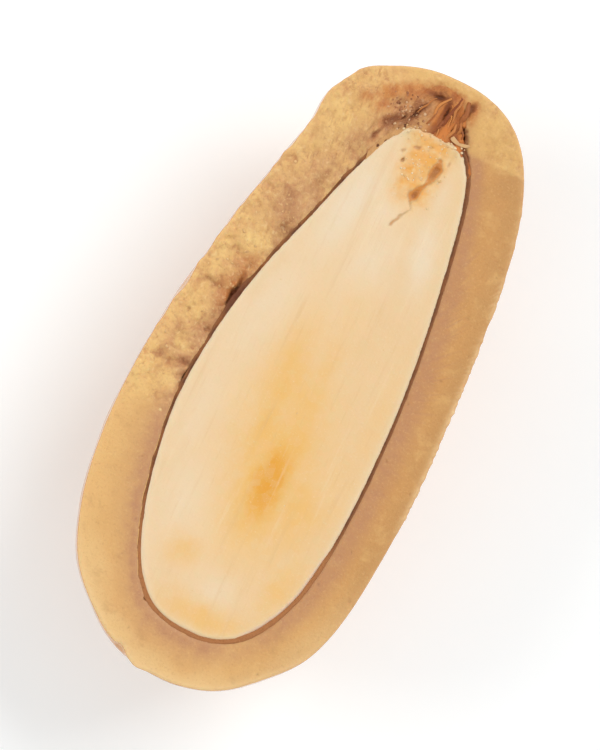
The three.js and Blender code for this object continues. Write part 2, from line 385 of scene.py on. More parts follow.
def tip_masks(v, u):
    p = points3(v, u)
    wv = v + 0.26 * fbm(p / 0.55, 191, 4, 0.6)
    wu = u + 0.26 * fbm(p / 0.55, 196, 4, 0.6)

    def table(rows):
        total = np.zeros_like(v)
        for cx, cy, rx, ry, turn, strong in rows:
            total = np.maximum(total, strong * bell(wv, wu, cx, cy, rx, ry, turn))
        return total

    n = fbm(p / 0.24, 201, 4, 0.65)
    rust = np.clip(table(TIP_RUST) * (1.05 + 0.8 * n), 0, 1)
    crumbs = np.clip(table(TIP_CRUMB) * (1.1 + 0.7 * n), 0, 1)
    dark = np.clip(table(TIP_DARK) * (1.0 + 0.9 * fbm(p / 0.20, 206, 3, 0.6)), 0, 1)
    speck = np.clip(3.0 * (perlin(p / 0.17, 211) + 0.3 * perlin(p / 0.08, 212)) - 0.75, 0, 1)
    return {"tiprust": rust, "tipcrumb": crumbs, "tipdark": dark, "tipspeck": speck * np.clip(crumbs * 1.6, 0, 1)}


def rough_mask(v, u):
    left = step(-v, 1.2, 2.4) * step(u, -4.9, -2.4) * (1 - step(u, 12.9, 14.2))
    top = 0.40 * step(u, 11.60, 11.85) * step(v, 1.5, 2.2)
    cap = 0.40 * step(u, 13.3, 13.9) * step(2.2 - np.abs(v), 0, 0.7)
    return np.clip(left + top + cap, 0, 1)


def ledges(n, count=3.0, sharp=0.30):
    """Broken ledges: slow slopes between steeper steps."""
    s = n * count
    whole = np.floor(s)
    return (whole + step(s - whole, 0.5 - sharp, 0.5 + sharp)) / count


def coat_relief(x, y):
    """Height of the coating's cut face above the knife's plane, and the masks of its look."""
    v, u = x - MOVE, y
    p = points3(v, u)
    f, d_out, d_in = coat_place(x, y)
    rough = rough_mask(v, u)
    brown, rust, cream = patches(v, u, BROWN, 141), patches(v, u, RUST, 151), patches(v, u, CREAM, 161)
    mauve = patches(v, u, MAUVE, 146)
    # Broken places are lumpy, with low ledges where the coating came away.
    warp = points3(v + 0.25 * fbm(p / 0.8, 41, 2), u + 0.25 * fbm(p / 0.8, 42, 2))
    big = fbm(warp / 1.25, 45, 4)
    small = fbm(warp / 0.42, 43, 4, 0.6)
    chunks = 0.36 * ledges(big, 3.5) + 0.08 * big + 0.13 * ledges(small, 3.0) + 0.070 * small
    chunks = chunks + 0.06 * cream - 0.09 * brown - 0.03
    where = np.clip(rough * (0.80 + 0.60 * fbm(p / 1.3, 46, 3)), 0, 1)
    # Smooth places carry the knife's faint drag lines and small grain.
    drag = 0.004 * perlin(points3((v * 0.94 + u * 0.34) * 0.35, (u * 0.94 - v * 0.34) * 5.5), 47)
    grain = 0.0055 * fbm(p / 0.15, 48, 3, 0.6)
    wave = 0.022 * fbm(p / 2.4, 49, 2)
    # The knife sank a little beside the skin on the right.
    right = step(v, 0.5, 2.0)
    hollow = -0.030 * right * (1 - step(d_in, 0.15, 0.95))
    h = wave + drag + grain + hollow + where * chunks
    # A few tiny air holes.
    a1, _, hole_own, _ = worley(p / 1.25, 50)
    hole = np.exp(-(a1 * 1.25 / (0.030 + 0.04 * np.mod(hole_own * 5.3, 1))) ** 2) * (hole_own > 0.72)
    h = h - 0.04 * hole
    pit = np.zeros_like(h)
    dark = np.zeros_like(h)
    for cx, cy, rx, ry, deep, turn in PITS:
        wv = v + 0.20 * fbm(p / 0.30, 51, 3, 0.6)
        wu = u + 0.20 * fbm(p / 0.30, 54, 3, 0.6)
        b = bell(wv, wu, cx, cy, rx * 1.15, ry * 1.15, turn)
        pit = pit + deep * step(b, 0.15, 0.80)
        dark = np.maximum(dark, step(b, 0.25, 0.95) * min(1, deep / 0.24))
    h = h - pit
    # The coating's inner edge is pulled down a little to the skin.
    h = h - 0.035 * np.exp(-(d_in / 0.10) ** 2) * (1 + 0.6 * perlin(p / 0.4, 52))
    # A raised burr along the right-hand edge.
    burr = burr_mask(v, u)
    teeth = np.clip(0.45 + 0.9 * fbm(points3(v * 0.3, u / 0.30), 9, 3), 0.05, 1.2)
    h = h + burr * 0.085 * teeth * np.exp(-((d_out - 0.10) / 0.07) ** 2)
    # The outer edge is broken off in small bites where the face is rough.
    bites = np.clip(fbm(points3(v / 0.7, u / 0.7), 53, 3) - 0.05, 0, 1)
    h = h - rough * 0.40 * bites * np.exp(-(d_out / 0.24) ** 2)
    # The nick beside the blunt end.
    nick = step(-u, 12.6, 13.3) * bell(v, u, -2.45, -13.7, 0.30, 0.8)
    h = h - 0.12 * nick * np.exp(-(d_out / 0.22) ** 2)
    left = 1 - right
    low = step(-u, 9.5, 12.0)
    fringe = right * (1 - step(d_in, 0.40, 1.30)) * (0.85 + 0.5 * fbm(p / 0.5, 56, 3)) * (1 - 0.5 * low)
    fringe = fringe + left * np.exp(-(d_in / (0.44 + 0.30 * step(-u, 3.0, 5.0) + 0.04 * low)) ** 1.5) * (0.85 + 0.45 * step(-u, 3.0, 5.0) + 0.7 * fbm(p / 0.5, 57, 3)) * (1 - step(u, 10.8, 12.2))
    fringe = fringe * (1 - 0.75 * step(u, 11.55, 11.85))
    masks = {
        "inner": f, "rough": where, "pit": np.clip(dark, 0, 1), "hole": hole,
        "brown": brown, "rust": rust, "cream": cream, "mauve": mauve, "fringe": np.clip(fringe, 0, 1),
        # lumps and cav follow the relief's height, for painted shade in the low places and painted highlights on the
        # high ones.
        "lumps": np.clip(0.5 + 0.9 * big + 0.35 * small, 0, 1),
        "cav": np.clip(0.5 - 0.95 * ledges(small, 3.0) - 0.55 * ledges(big, 3.5), 0, 1),
        "edge": np.clip(np.exp(-(d_out / 0.19) ** 2) * (0.14 + 1.25 * np.clip(burr * teeth, 0, 1) + 0.46 * low), 0, 1),
    }
    tips = tip_masks(v, u)
    masks.update(tips)
    cw = points3(v + 0.10 * fbm(p / 0.35, 114, 2), u + 0.10 * fbm(p / 0.35, 119, 2))
    h = h + tips["tipcrumb"] * (0.11 * ledges(fbm(cw / 0.42, 116, 4), 3) + 0.05 * fbm(p / 0.22, 117, 4)) - 0.07 * tips["tipdark"]
    return h, masks


# The crack in the kernel's tip: a run of torn blotches, then a fine line. Each
# point has its half width and how dark it is.
CRACK = ((1.02, 10.88, 0.14, 0.60), (1.04, 10.48, 0.32, 1.0), (0.98, 10.12, 0.27, 0.90), (0.93, 9.84, 0.13, 0.62),
         (0.83, 9.60, 0.13, 0.62), (0.70, 9.36, 0.22, 0.80), (0.60, 9.06, 0.32, 1.0), (0.58, 8.80, 0.11, 0.55), (0.72, 8.45, 0.07, 0.30),
         (0.52, 8.12, 0.10, 0.38), (0.34, 7.80, 0.11, 0.44), (0.18, 7.46, 0.12, 0.50), (0.14, 7.32, 0.04, 0.25))


def crack_mask(v, u):
    total = np.zeros_like(v)
    p = points3(v, u)
    wob_v = v + 0.16 * fbm(p / 0.32, 61, 4, 0.6)
    wob_u = u + 0.16 * fbm(p / 0.32, 62, 4, 0.6)
    for (ax, ay, ar, ak), (bx, by, br, bk) in zip(CRACK[:-1], CRACK[1:]):
        dx, dy = bx - ax, by - ay
        t = np.clip(((wob_v - ax) * dx + (wob_u - ay) * dy) / (dx * dx + dy * dy), 0, 1)
        d = np.hypot(wob_v - ax - t * dx, wob_u - ay - t * dy)
        r = ar + (br - ar) * t
        total = np.maximum(total, (1 - step(d / r, 0.15, 1.25)) * (ak + (bk - ak) * t))
    return total


KERNEL_PITS = (
    (-0.10, 10.98, 0.22, 0.10, 0.10, 12), (-0.48, 10.25, 0.12, 0.14, 0.14, 0),
    (-0.62, 10.62, 0.18, 0.10, 0.06, 40), (0.42, 11.25, 0.12, 0.08, 0.06, 0),
    (1.42, 10.90, 0.08, 0.16, 0.05, -10),
)

# Tints of the flesh: where, how large, how turned, how strong.
STAIN = (
    (0.22, -4.80, 1.02, 2.60, -3, 1.00), (0.10, -4.40, 1.30, 2.90, 2, 0.50), (0.26, -4.95, 0.70, 1.80, 0, 1.10),
    (-1.05, -0.20, 0.75, 2.10, 6, 0.50), (-0.95, -2.60, 0.70, 1.80, 8, 0.50), (0.40, 0.40, 0.40, 1.40, 0, 0.28),
    (1.15, -3.60, 0.45, 1.80, -4, 0.28), (0.30, -7.20, 0.70, 0.90, 0, 0.34), (-0.30, -3.40, 0.50, 1.20, 0, 0.50),
)
HALO = (
    (-0.30, -2.80, 2.20, 4.80, 3, 1.00), (1.80, -5.20, 1.60, 3.20, -6, 0.90),
    (-1.90, -8.90, 0.80, 0.75, 20, 0.95), (0.30, -11.30, 2.60, 0.75, 0, 1.15),
    (2.60, -8.60, 0.85, 1.70, -12, 0.85), (0.40, 3.40, 0.90, 1.60, 0, 0.45), (3.30, -1.00, 0.60, 3.00, 0, 0.40), (0.45, 10.20, 0.95, 1.30, 0, 0.85),
)
PALE = (
    (-2.70, -6.70, 1.00, 1.60, 8, 0.75), (0.10, -9.95, 0.80, 0.75, 10, 0.90),
    (-1.60, 7.60, 0.90, 2.40, -12, 1.20), (2.10, 6.80, 0.70, 1.80, 10, 1.00),
    (-3.00, 2.00, 1.00, 2.80, -8, 0.70), (1.60, 9.60, 0.45, 1.10, 12, 0.75),
    (-3.70, -3.00, 0.60, 2.60, 0, 0.50), (0.20, 5.60, 1.10, 1.80, 0, 0.80), (-0.40, 7.90, 0.70, 1.20, 0, 0.80),
)


def kernel_relief(x, y, d):
    """Height of the kernel's cut face, and the masks of its look. d is the distance from its edge."""
    v, u = x - MOVE, y
    p = points3(v, u)
    lean = v + 0.03 * u
    streak = perlin(points3(lean * 4.2, u * 0.30), 71)
    fine_streak = perlin(points3(lean * 13.0, u * 0.9), 72)
    h = 0.018 + 0.026 * fbm(points3(v / 2.2, u / 4.2), 73, 3) + 0.0060 * streak + 0.0026 * fine_streak
    h = h + 0.0040 * fbm(p / 0.25, 74, 4, 0.6)
    # The knife's faint arcs across.
    h = h + 0.0048 * perlin(points3(v * 0.25, u * 3.2 + 0.18 * v * v), 75)
    # Crumbly flesh at the tip.
    tip = step(u, 7.9, 9.6) * (1 - step(np.abs(v - 0.42 - 0.02 * (11 - u)), 0.35, 1.25 + 0.10 * (u - 9)))
    tip = np.clip(tip * (0.85 + 0.8 * fbm(p / 0.6, 76, 3)), 0, 1)
    rim_tip = step(u + 0.25 * fbm(p / 0.5, 83, 3), 10.9, 11.5)
    crumbly = np.clip(tip + 0.9 * rim_tip, 0, 1)
    w = points3(v + 0.10 * fbm(p / 0.3, 77, 2), (u + 0.10 * fbm(p / 0.3, 78, 2)) * 0.8)
    lumps = 0.075 * ledges(fbm(w / 0.36, 79, 4), 3) + 0.045 * fbm(p / 0.20, 80, 3)
    h = h + crumbly * lumps
    crack = crack_mask(v, u)
    h = h - 0.085 * crack
    pits = np.zeros_like(h)
    for cx, cy, rx, ry, deep, turn in KERNEL_PITS:
        wv = v + 0.06 * perlin(p / 0.15, 81)
        b = bell(wv, u, cx, cy, rx, ry, turn)
        h = h - deep * step(b, 0.25, 0.8)
        pits = np.maximum(pits, step(b, 0.3, 0.95) * min(1, deep / 0.10))
    # A narrow bevel along the lower right edge, and a rounded edge elsewhere.
    low_right = step(v, 1.4, 2.4) * step(-u, 6.2, 7.2) * (1 - step(-u, 11.0, 11.7))
    bevel = 1 - step(d, 0.04, 0.24)
    h = h - low_right * 0.09 * bevel
    h = h - 0.045 * np.exp(-(d / 0.06) ** 2)
    left = step(-v, 1.5, 3.0)
    lip = 0.022 * np.exp(-((d - 0.16) / 0.10) ** 2) * left * (0.5 + 0.8 * perlin(p / 0.9, 82))
    h = h + lip
    # The stain and the tints run along the nut's grain in broken streaks.
    broken = np.clip(0.97 + 0.34 * fbm(points3(lean * 2.2, u * 0.36), 84, 4, 0.6)
                     + 0.20 * fbm(p / 0.60, 85, 4, 0.6), 0, 1.5)
    soft = np.clip(0.88 + 0.80 * fbm(p / 1.5, 86, 4, 0.55), 0, 1.4)
    masks = {
        "stain": np.clip(patches(v, u, STAIN, 171) * broken, 0, 1),
        "halo": np.clip(patches(v, u, HALO, 181) * soft, 0, 1),
        "pale": np.clip(patches(v, u, PALE, 191) * soft, 0, 1),
        "crumb": crumbly, "tipspot": tip, "crack": crack, "kpit": pits, "rimtip": rim_tip,
        "kedge": np.exp(-(d / 0.20) ** 2), "bevel": low_right * bevel,
        "lump": np.clip(0.5 + 1.2 * fbm(w / 0.36, 79, 4), 0, 1), "toright": step(v, -2.0, 3.4),
    }
    return h, masks


# ------------------------------------------------------------------ mesh tools


def make_mesh(name, verts, faces, masks=None, materials=(), slots=None, smooth=True):
    """An object from vertices in millimetres and faces, with one number a vertex for each mask."""
    me = bpy.data.meshes.new(name)
    me.from_pydata((np.asarray(verts) * MM).tolist(), [], faces)
    for key, values in (masks or {}).items():
        a = me.attributes.new(key, "FLOAT", "POINT")
        a.data.foreach_set("value", np.asarray(values, np.float32).ravel())
    for m in materials:
        me.materials.append(m)
    if slots is not None:
        me.polygons.foreach_set("material_index", np.asarray(slots, np.int32))
    if smooth:
        me.polygons.foreach_set("use_smooth", np.ones(len(me.polygons), bool))
    me.update()
    o = bpy.data.objects.new(name, me)
    bpy.context.scene.collection.objects.link(o)
    return o


class Rings:
    """A closed surface from rings of points, each as long as the one before, or half or twice as long."""

    def __init__(self):
        self.verts, self.faces, self.slots, self.masks, self.last = [], [], [], {}, None
        self.count = 0

    def _mask(self, masks, n):
        for key in set(self.masks) | set(masks or {}):
            self.masks.setdefault(key, [np.zeros(self.count)] if self.count else [])
            value = (masks or {}).get(key, 0.0)
            self.masks[key].append(np.broadcast_to(np.asarray(value, float), n).astype(float))

    def point(self, p, slot=0, masks=None):
        self._mask(masks, 1)
        self.verts.append(np.asarray(p, float).reshape(1, 3))
        k = self.count
        self.count += 1
        if self.last is None:
            self.last = k
        else:
            ids = self.last
            n = len(ids)
            for i in range(n):
                self.faces.append((ids[i], ids[(i + 1) % n], k))
                self.slots.append(slot)
        return k

    def ring(self, p, slot=0, masks=None):
        n = len(p)
        self._mask(masks, n)
        self.verts.append(np.asarray(p, float))
        ids = np.arange(self.count, self.count + n)
        self.count += n
        prev = self.last
        made = []
        if prev is None:
            pass
        elif isinstance(prev, int):
            made = [(prev, b, a) for a, b in zip(ids.tolist(), np.roll(ids, -1).tolist())]
            made = [(prev, a, b)[::-1] for a, b in zip(ids.tolist(), np.roll(ids, -1).tolist())]
        elif len(prev) == n:
            a, b = prev, np.roll(prev, -1)
            c, d = np.roll(ids, -1), ids
            made = np.stack([a, b, c, d], -1).tolist()
        elif len(prev) == 2 * n:
            for i in range(n):
                f0, f1, f2 = prev[2 * i], prev[2 * i + 1], prev[(2 * i + 2) % (2 * n)]
                c0, c1 = ids[i], ids[(i + 1) % n]
                made += [(int(f0), int(f1), int(c0)), (int(f1), int(c1), int(c0)), (int(f1), int(f2), int(c1))]
        elif 2 * len(prev) == n:
            m = len(prev)
            for i in range(m):
                f0, f1, f2 = ids[2 * i], ids[2 * i + 1], ids[(2 * i + 2) % n]
                c0, c1 = prev[i], prev[(i + 1) % m]
                made += [(int(f1), int(f0), int(c0)), (int(c1), int(f1), int(c0)), (int(f2), int(f1), int(c1))]
        self.faces += [tuple(m) for m in made]
        self.slots += [slot] * len(made)
        self.last = ids

    def all(self):
        return (np.concatenate(self.verts), self.faces, self.slots,
                {k: np.concatenate(v) for k, v in self.masks.items()})


def outward(verts, faces):
    """The faces turned so that the closed surface's volume is positive."""
    volume = 0.0
    for f in faces:
        a = verts[f[0]]
        for i in range(1, len(f) - 1):
            volume += float(np.dot(a, np.cross(verts[f[i]], verts[f[i + 1]])))
    return [tuple(reversed(f)) for f in faces] if volume < 0 else faces


def phis(n):
    return np.arange(n) / n * TAU - math.pi


# ------------------------------------------------------------------- coating

COAT_ACROSS, COAT_DOWN = 2.3, 2.1
KERNEL_ACROSS, KERNEL_DOWN = 2.2, 2.0


def row_at(edge, phi, down, depth, across, downwards):
    """A ring of a round back, at a depth below the cut face."""
    c = np.clip(down / depth, 0, 1) ** (downwards / 2)
    out = np.sqrt(np.clip(1 - c * c, 0, 1)) ** (2 / across)
    rim = edge.at(phi)
    xy = POLE + (rim - POLE) * out
    return np.concatenate([xy, np.full((len(phi), 1), HEIGHT - down)], 1)


def ring_slope(rings, k):
    """Outward normals of one ring among its neighbours, all of one length."""
    around = np.roll(rings[k], -1, 0) - np.roll(rings[k], 1, 0)
    lo, hi = rings[max(k - 1, 0)], rings[min(k + 1, len(rings) - 1)]
    n = np.cross(hi - lo, around)
    n /= np.linalg.norm(n, axis=1)[:, None] + 1e-12
    centre = np.array([POLE[0], POLE[1], HEIGHT])
    flip = np.sign(((rings[k] - centre) * n).sum(1))
    return n * flip[:, None]


def outside_bumps(p):
    """Slow flats and swells of a tumbled coating, finer dimples, and tiny grain."""
    broad = 0.13 * fbm(p / 5.5, 101, 2)
    mid = 0.036 * fbm(p / 2.1, 104, 2)
    small = 0.0016 * perlin(p / 0.7, 108)
    return broad + mid + small


def outline_normal(xy):
    n = np.stack([(xy[..., 0] - POLE[0]) / SCALE_X ** 2, (xy[..., 1] - POLE[1]) / SCALE_Y ** 2], -1)
    return n / np.linalg.norm(n, axis=-1)[..., None]


def build_coat(gloss, cut):
    around = 1200
    phi = phis(around)
    r = Rings()
    # Inside, from the bottom up to the cut face.
    inner_depth = KERNEL_DEPTH + 0.36
    r.point((POLE[0], POLE[1], HEIGHT - inner_depth), slot=1)
    plan = [(150, d) for d in (6.2, 5.6, 4.8, 3.9)] + [(300, 3.0), (300, 2.2), (600, 1.5), (600, 1.0), (1200, 0.65), (1200, 0.40), (1200, 0.20)]
    for n, down in plan:
        fade = step(np.array([down]), 0.2, 2.5)[0]
        q = row_at(coat_inner, phis(n), down, inner_depth, KERNEL_ACROSS, KERNEL_DOWN)
        base = row_at(kernel_edge, phis(n), down, inner_depth, KERNEL_ACROSS, KERNEL_DOWN)
        away = q - base
        q = base + away * (1 - fade) + away / (np.linalg.norm(away, axis=1)[:, None] + 1e-9) * 0.2 * fade
        r.ring(q, slot=1, masks={"inner": 1.0, "pit": 0.8})
    # The cut face, from its inner edge to where its outer edge starts to round over.
    rows = 36
    o, i = coat_outer.at(phi), coat_inner.at(phi)
    n2 = outline_normal(o)
    radius = 0.12 + 0.045 * fbm(points3(o[:, 0] / 2.0, o[:, 1] / 2.0), 58, 2)
    rim = o - n2 * radius[:, None]
    for k in range(rows + 1):
        t = 1 - k / rows
        f = t - 0.5 * math.sin(TAU * t) / TAU
        xy = rim + (i - rim) * f
        h, masks = coat_relief(xy[:, 0], xy[:, 1])
        r.ring(np.concatenate([xy, (HEIGHT + h)[:, None]], 1), slot=1, masks=masks)
    for k, turn in enumerate((28, 55, 80)):
        c, sn = math.cos(math.radians(turn)), math.sin(math.radians(turn))
        xy = rim + n2 * (radius * sn)[:, None]
        z = HEIGHT + h - radius * (1 - c)
        kept = {key: value * (1 - 0.4 * k) for key, value in masks.items()}
        r.ring(np.concatenate([xy, z[:, None]], 1), slot=1 if k < 2 else 0, masks=kept)
    # The outside, down to the flat spot. The outline's fine detail fades just below the edge.
    down_list = [(1200, d) for d in (0.17, 0.27, 0.40, 0.58, 0.80, 1.02)]
    down_list += [(600, 1.26 + 0.24 * j) for j in range(25)]
    down_list += [(300, d) for d in (7.18, 7.40, 7.62, 7.82, 7.98, 8.11, 8.22, 8.31, 8.4)]
    for n, d in down_list:
        ang = phis(n)

        def ring_at(down):
            keep = math.exp(-(down / 0.55) ** 2)
            q = row_at(coat_slow, ang, down, COAT_DEPTH, COAT_ACROSS, COAT_DOWN)
            if keep > 1e-3:
                q = q + (row_at(coat_outer, ang, down, COAT_DEPTH, COAT_ACROSS, COAT_DOWN) - q) * keep
            return q

        q = ring_at(d)
        near = [ring_at(max(d - 0.1, 0.01)), q, ring_at(min(d + 0.1, COAT_DEPTH - 0.01))]
        nrm = ring_slope(near, 1)
        fade = step(np.array([d]), 0.0, 1.3)[0] * (1 - step(np.array([d]), 7.9, 8.38)[0])
        amount = outside_bumps(q) * fade
        # The nut's widest line is a little below the cut.
        swell = 0.085 * step(np.array([d]), 0.1, 1.35)[0] * (1 - step(np.array([d]), 1.7, 4.6)[0])
        q = q + nrm * (amount + swell)[:, None]
        if n == 1200:
            q[:, 2] += h * math.exp(-((d - 0.12) / 0.50) ** 2)
        q[:, 2] = np.maximum(q[:, 2], 0.0)
        r.ring(q, slot=0, masks={"edge": math.exp(-(d / 0.25) ** 2)})
    r.point((POLE[0], POLE[1], 0.0), slot=0)
    verts, faces, slots, masks = r.all()
    return make_mesh("coating_body", verts, outward(verts, faces), masks, (gloss, cut), slots)


# --------------------------------------------------------------------- kernel


def build_kernel(flesh):
    nx, ny = 190, 400
    s = np.linspace(-1, 1, nx + 1)
    t = np.linspace(-1, 1, ny + 1)
    gs, gt = np.meshgrid(s, t)
    dx = gs * np.sqrt(1 - gt * gt / 2)
    dy = gt * np.sqrt(1 - gs * gs / 2)
    rho = np.hypot(dx, dy)
    phi = np.arctan2(dy, dx)
    rim = kernel_edge.at(phi)
    x = POLE[0] + (rim[..., 0] - POLE[0]) * rho
    y = POLE[1] + (rim[..., 1] - POLE[1]) * rho
    tree = KDTree(len(kernel_edge.points))
    for k, q in enumerate(kernel_edge.points):
        tree.insert((q[0], q[1], 0), k)
    tree.balance()
    d = np.array([tree.find((a, b, 0))[2] for a, b in zip(x.ravel(), y.ravel())]).reshape(x.shape)
    h, masks = kernel_relief(x, y, d)
    top = np.stack([x, y, HEIGHT + h], -1).reshape(-1, 3)
    w = nx + 1
    faces = []
    base = (np.arange(ny)[:, None] * w + np.arange(nx)[None, :]).ravel()
    faces += np.stack([base, base + 1, base + w + 1, base + w], -1).tolist()
    # The side: a few full rows, then a coarser back.
    border = ([j for j in range(nx)] + [nx + j * w for j in range(ny)]
              + [ny * w + nx - j for j in range(nx)] + [(ny - j) * w for j in range(ny)])
    bphi, brho = phi.ravel()[border], rho.ravel()[border]
    verts = [top]
    count = len(top)
    prev = np.array(border)
    all_masks = {k: [m.ravel()] for k, m in masks.items()}
    for step_by, down in ((1, 0.12), (1, 0.30), (1, 0.6), (2, 1.0), (2, 1.6), (2, 2.4), (4, 3.3), (4, 4.2), (4, 5.0), (4, 5.6), (4, 5.95)):
        ang = bphi[::step_by]
        q = row_at(kernel_edge, ang, down, KERNEL_DEPTH, KERNEL_ACROSS, KERNEL_DOWN)
        ids = np.arange(count, count + len(q))
        count += len(q)
        verts.append(q)
        for key in all_masks:
            all_masks[key].append(np.zeros(len(q)))
        if len(prev) == len(ids):
            faces += np.stack([prev, ids, np.roll(ids, -1), np.roll(prev, -1)], -1).tolist()
        else:
            m = len(ids)
            for i in range(m):
                f0, f1, f2 = int(prev[2 * i]), int(prev[2 * i + 1]), int(prev[(2 * i + 2) % (2 * m)])
                c0, c1 = int(ids[i]), int(ids[(i + 1) % m])
                faces += [[f0, c0, f1], [f1, c0, c1], [f1, c1, f2]]
        prev = ids
    verts.append(np.array([[POLE[0], POLE[1], HEIGHT - KERNEL_DEPTH]]))
    for key in all_masks:
        all_masks[key].append(np.zeros(1))
    for i in range(len(prev)):
        faces.append([int(prev[i]), count, int(prev[(i + 1) % len(prev)])])
    verts = np.concatenate(verts)
    masks = {k: np.concatenate(m) for k, m in all_masks.items()}
    return make_mesh("kernel_body", verts, outward(verts, faces), masks, (flesh,))


# ------------------------------------------------------------------------ skin


def skin_relief(x, y):
    v, u = x - MOVE, y
    p = points3(v, u)
    h = -0.018 + 0.022 * fbm(p / 0.45, 91, 4) + 0.012 * perlin(p / 0.12, 92)
    left = step(-v, 0.5, 2.0)
    h = h - left * 0.07 * np.clip(fbm(p / 0.8, 93, 3) + 0.15, 0, 1)
    h = h - left * 0.10 * bell(v, u, -4.7, 1.9, 0.8, 0.8)
    return h


def build_skin(brown):
    around = 1200
    phi = phis(around)
    r = Rings()
    r.point((POLE[0], POLE[1], HEIGHT - KERNEL_DEPTH - 0.05))
    for n, down in ((150, 5.9), (150, 5.2), (150, 4.2), (300, 3.0), (300, 2.0), (600, 1.2), (600, 0.7), (1200, 0.35), (1200, 0.16)):
        r.ring(row_at(skin_inner, phis(n), down, KERNEL_DEPTH + 0.05, KERNEL_ACROSS, KERNEL_DOWN))
    o, i = skin_outer.at(phi), skin_inner.at(phi)
    rows = 12
    for k in range(rows + 1):
        f = 1 - k / rows
        xy = o + (i - o) * f
        h = skin_relief(xy[:, 0], xy[:, 1]) - 0.03 * ((2 * f - 1) ** 4)
        # The torn tip is a piece of its own on top of this.
        h = h - 0.35 * step(xy[:, 1], 11.6, 12.2)
        sv, su = xy[:, 0] - MOVE, xy[:, 1]
        r.ring(np.concatenate([xy, (HEIGHT + h)[:, None]], 1), masks={
            "across": np.full(around, 1 - f), "soft": step(-su, 6.0 - 0.8 * step(sv, 0.5, 2.0), 10.5 - 3.4 * step(sv, 0.5, 2.0)), "onright": step(sv, 0.5, 2.0),
            "gap": bell(sv, su, -4.7, 1.9, 0.8, 0.9)})
    for n, down in ((1200, 0.20), (1200, 0.45), (600, 0.8), (600, 1.3), (300, 2.1), (300, 3.1), (150, 4.3), (150, 5.3), (150, 6.0)):
        fade = step(np.array([down]), 0.3, 2.5)[0]
        q = row_at(skin_outer, phis(n), down, KERNEL_DEPTH + 0.3, KERNEL_ACROSS, KERNEL_DOWN)
        base = row_at(skin_inner, phis(n), down, KERNEL_DEPTH + 0.3, KERNEL_ACROSS, KERNEL_DOWN)
        away = q - base
        q = base + away * (1 - fade) + away / (np.linalg.norm(away, axis=1)[:, None] + 1e-9) * 0.24 * fade
        r.ring(q)
    r.point((POLE[0], POLE[1], HEIGHT - KERNEL_DEPTH - 0.30))
    verts, faces, slots, masks = r.all()
    return make_mesh("skin_body", verts, outward(verts, faces), masks, (brown,))


# ----------------------------------------------------------- torn skin at the tip

TEAR_HOLES = (
    (1.30, 13.46, 0.12, 0.30, 0.30, -20), (1.40, 12.48, 0.14, 0.13, 0.20, 0),
    (1.64, 12.18, 0.08, 0.22, 0.20, 38), (1.90, 11.80, 0.07, 0.22, 0.18, 28),
    (0.42, 12.86, 0.06, 0.34, 0.12, -8), (-0.15, 13.36, 0.24, 0.10, 0.10, 14),
    (-1.25, 11.92, 0.22, 0.10, 0.12, 40), (-0.80, 12.30, 0.08, 0.30, 0.12, -25),
    (0.92, 12.15, 0.05, 0.22, 0.10, -10),
)


def tear_edges(phi):
    return skin_outer.at(phi), kernel_edge.at(phi)


def tear_relief(x, y):
    v, u = x - MOVE, y
    p = points3(v, u)
    # Fibres fan down from the tip.
    fan = (v - 0.80) / np.clip(15.4 - u, 0.6, None)
    warp = 0.10 * fbm(p / 0.6, 111, 3)
    ridges = perlin(points3(fan * 8.5 + warp * 3, u * 0.55), 112)
    fine_ridges = perlin(points3(fan * 26 + warp * 6, u * 1.2), 113)
    right = step(v + 0.25 * fbm(p / 0.6, 115, 3), -0.55, 0.25)
    h = right * (0.065 * ridges + 0.028 * fine_ridges)
    w = points3(v + 0.10 * fbm(p / 0.35, 114, 2), u + 0.10 * fbm(p / 0.35, 119, 2))
    crumbs = 0.13 * ledges(fbm(w / 0.42, 116, 4), 3) + 0.05 * fbm(p / 0.22, 117, 4)
    h = h + (1 - right) * crumbs + 0.025 * fbm(p / 0.3, 118, 4)
    dark = np.zeros_like(h)
    for cx, cy, rx, ry, deep, turn in TEAR_HOLES:
        wv = v + 0.07 * perlin(p / 0.16, 120)
        b = bell(wv, u, cx, cy, rx * 1.15, ry * 1.15, turn)
        h = h - deep * step(b, 0.2, 0.85)
        dark = np.maximum(dark, step(b, 0.30, 0.95))
    tips = tip_masks(v, u)
    h = h - 0.02 * step(u, 11.3, 12.0) - 0.05 * tips["tipdark"]
    masks = {
        "fibre": np.clip(0.5 + 0.6 * ridges, 0, 1), "toright": right,
        "dark": dark, "lump": np.clip(0.5 + 1.2 * fbm(w / 0.42, 116, 4), 0, 1), "rise": step(u, 12.3, 13.6),
        "fine": 0.5 + 0.5 * fine_ridges,
    }
    masks.update(tips)
    return h, masks


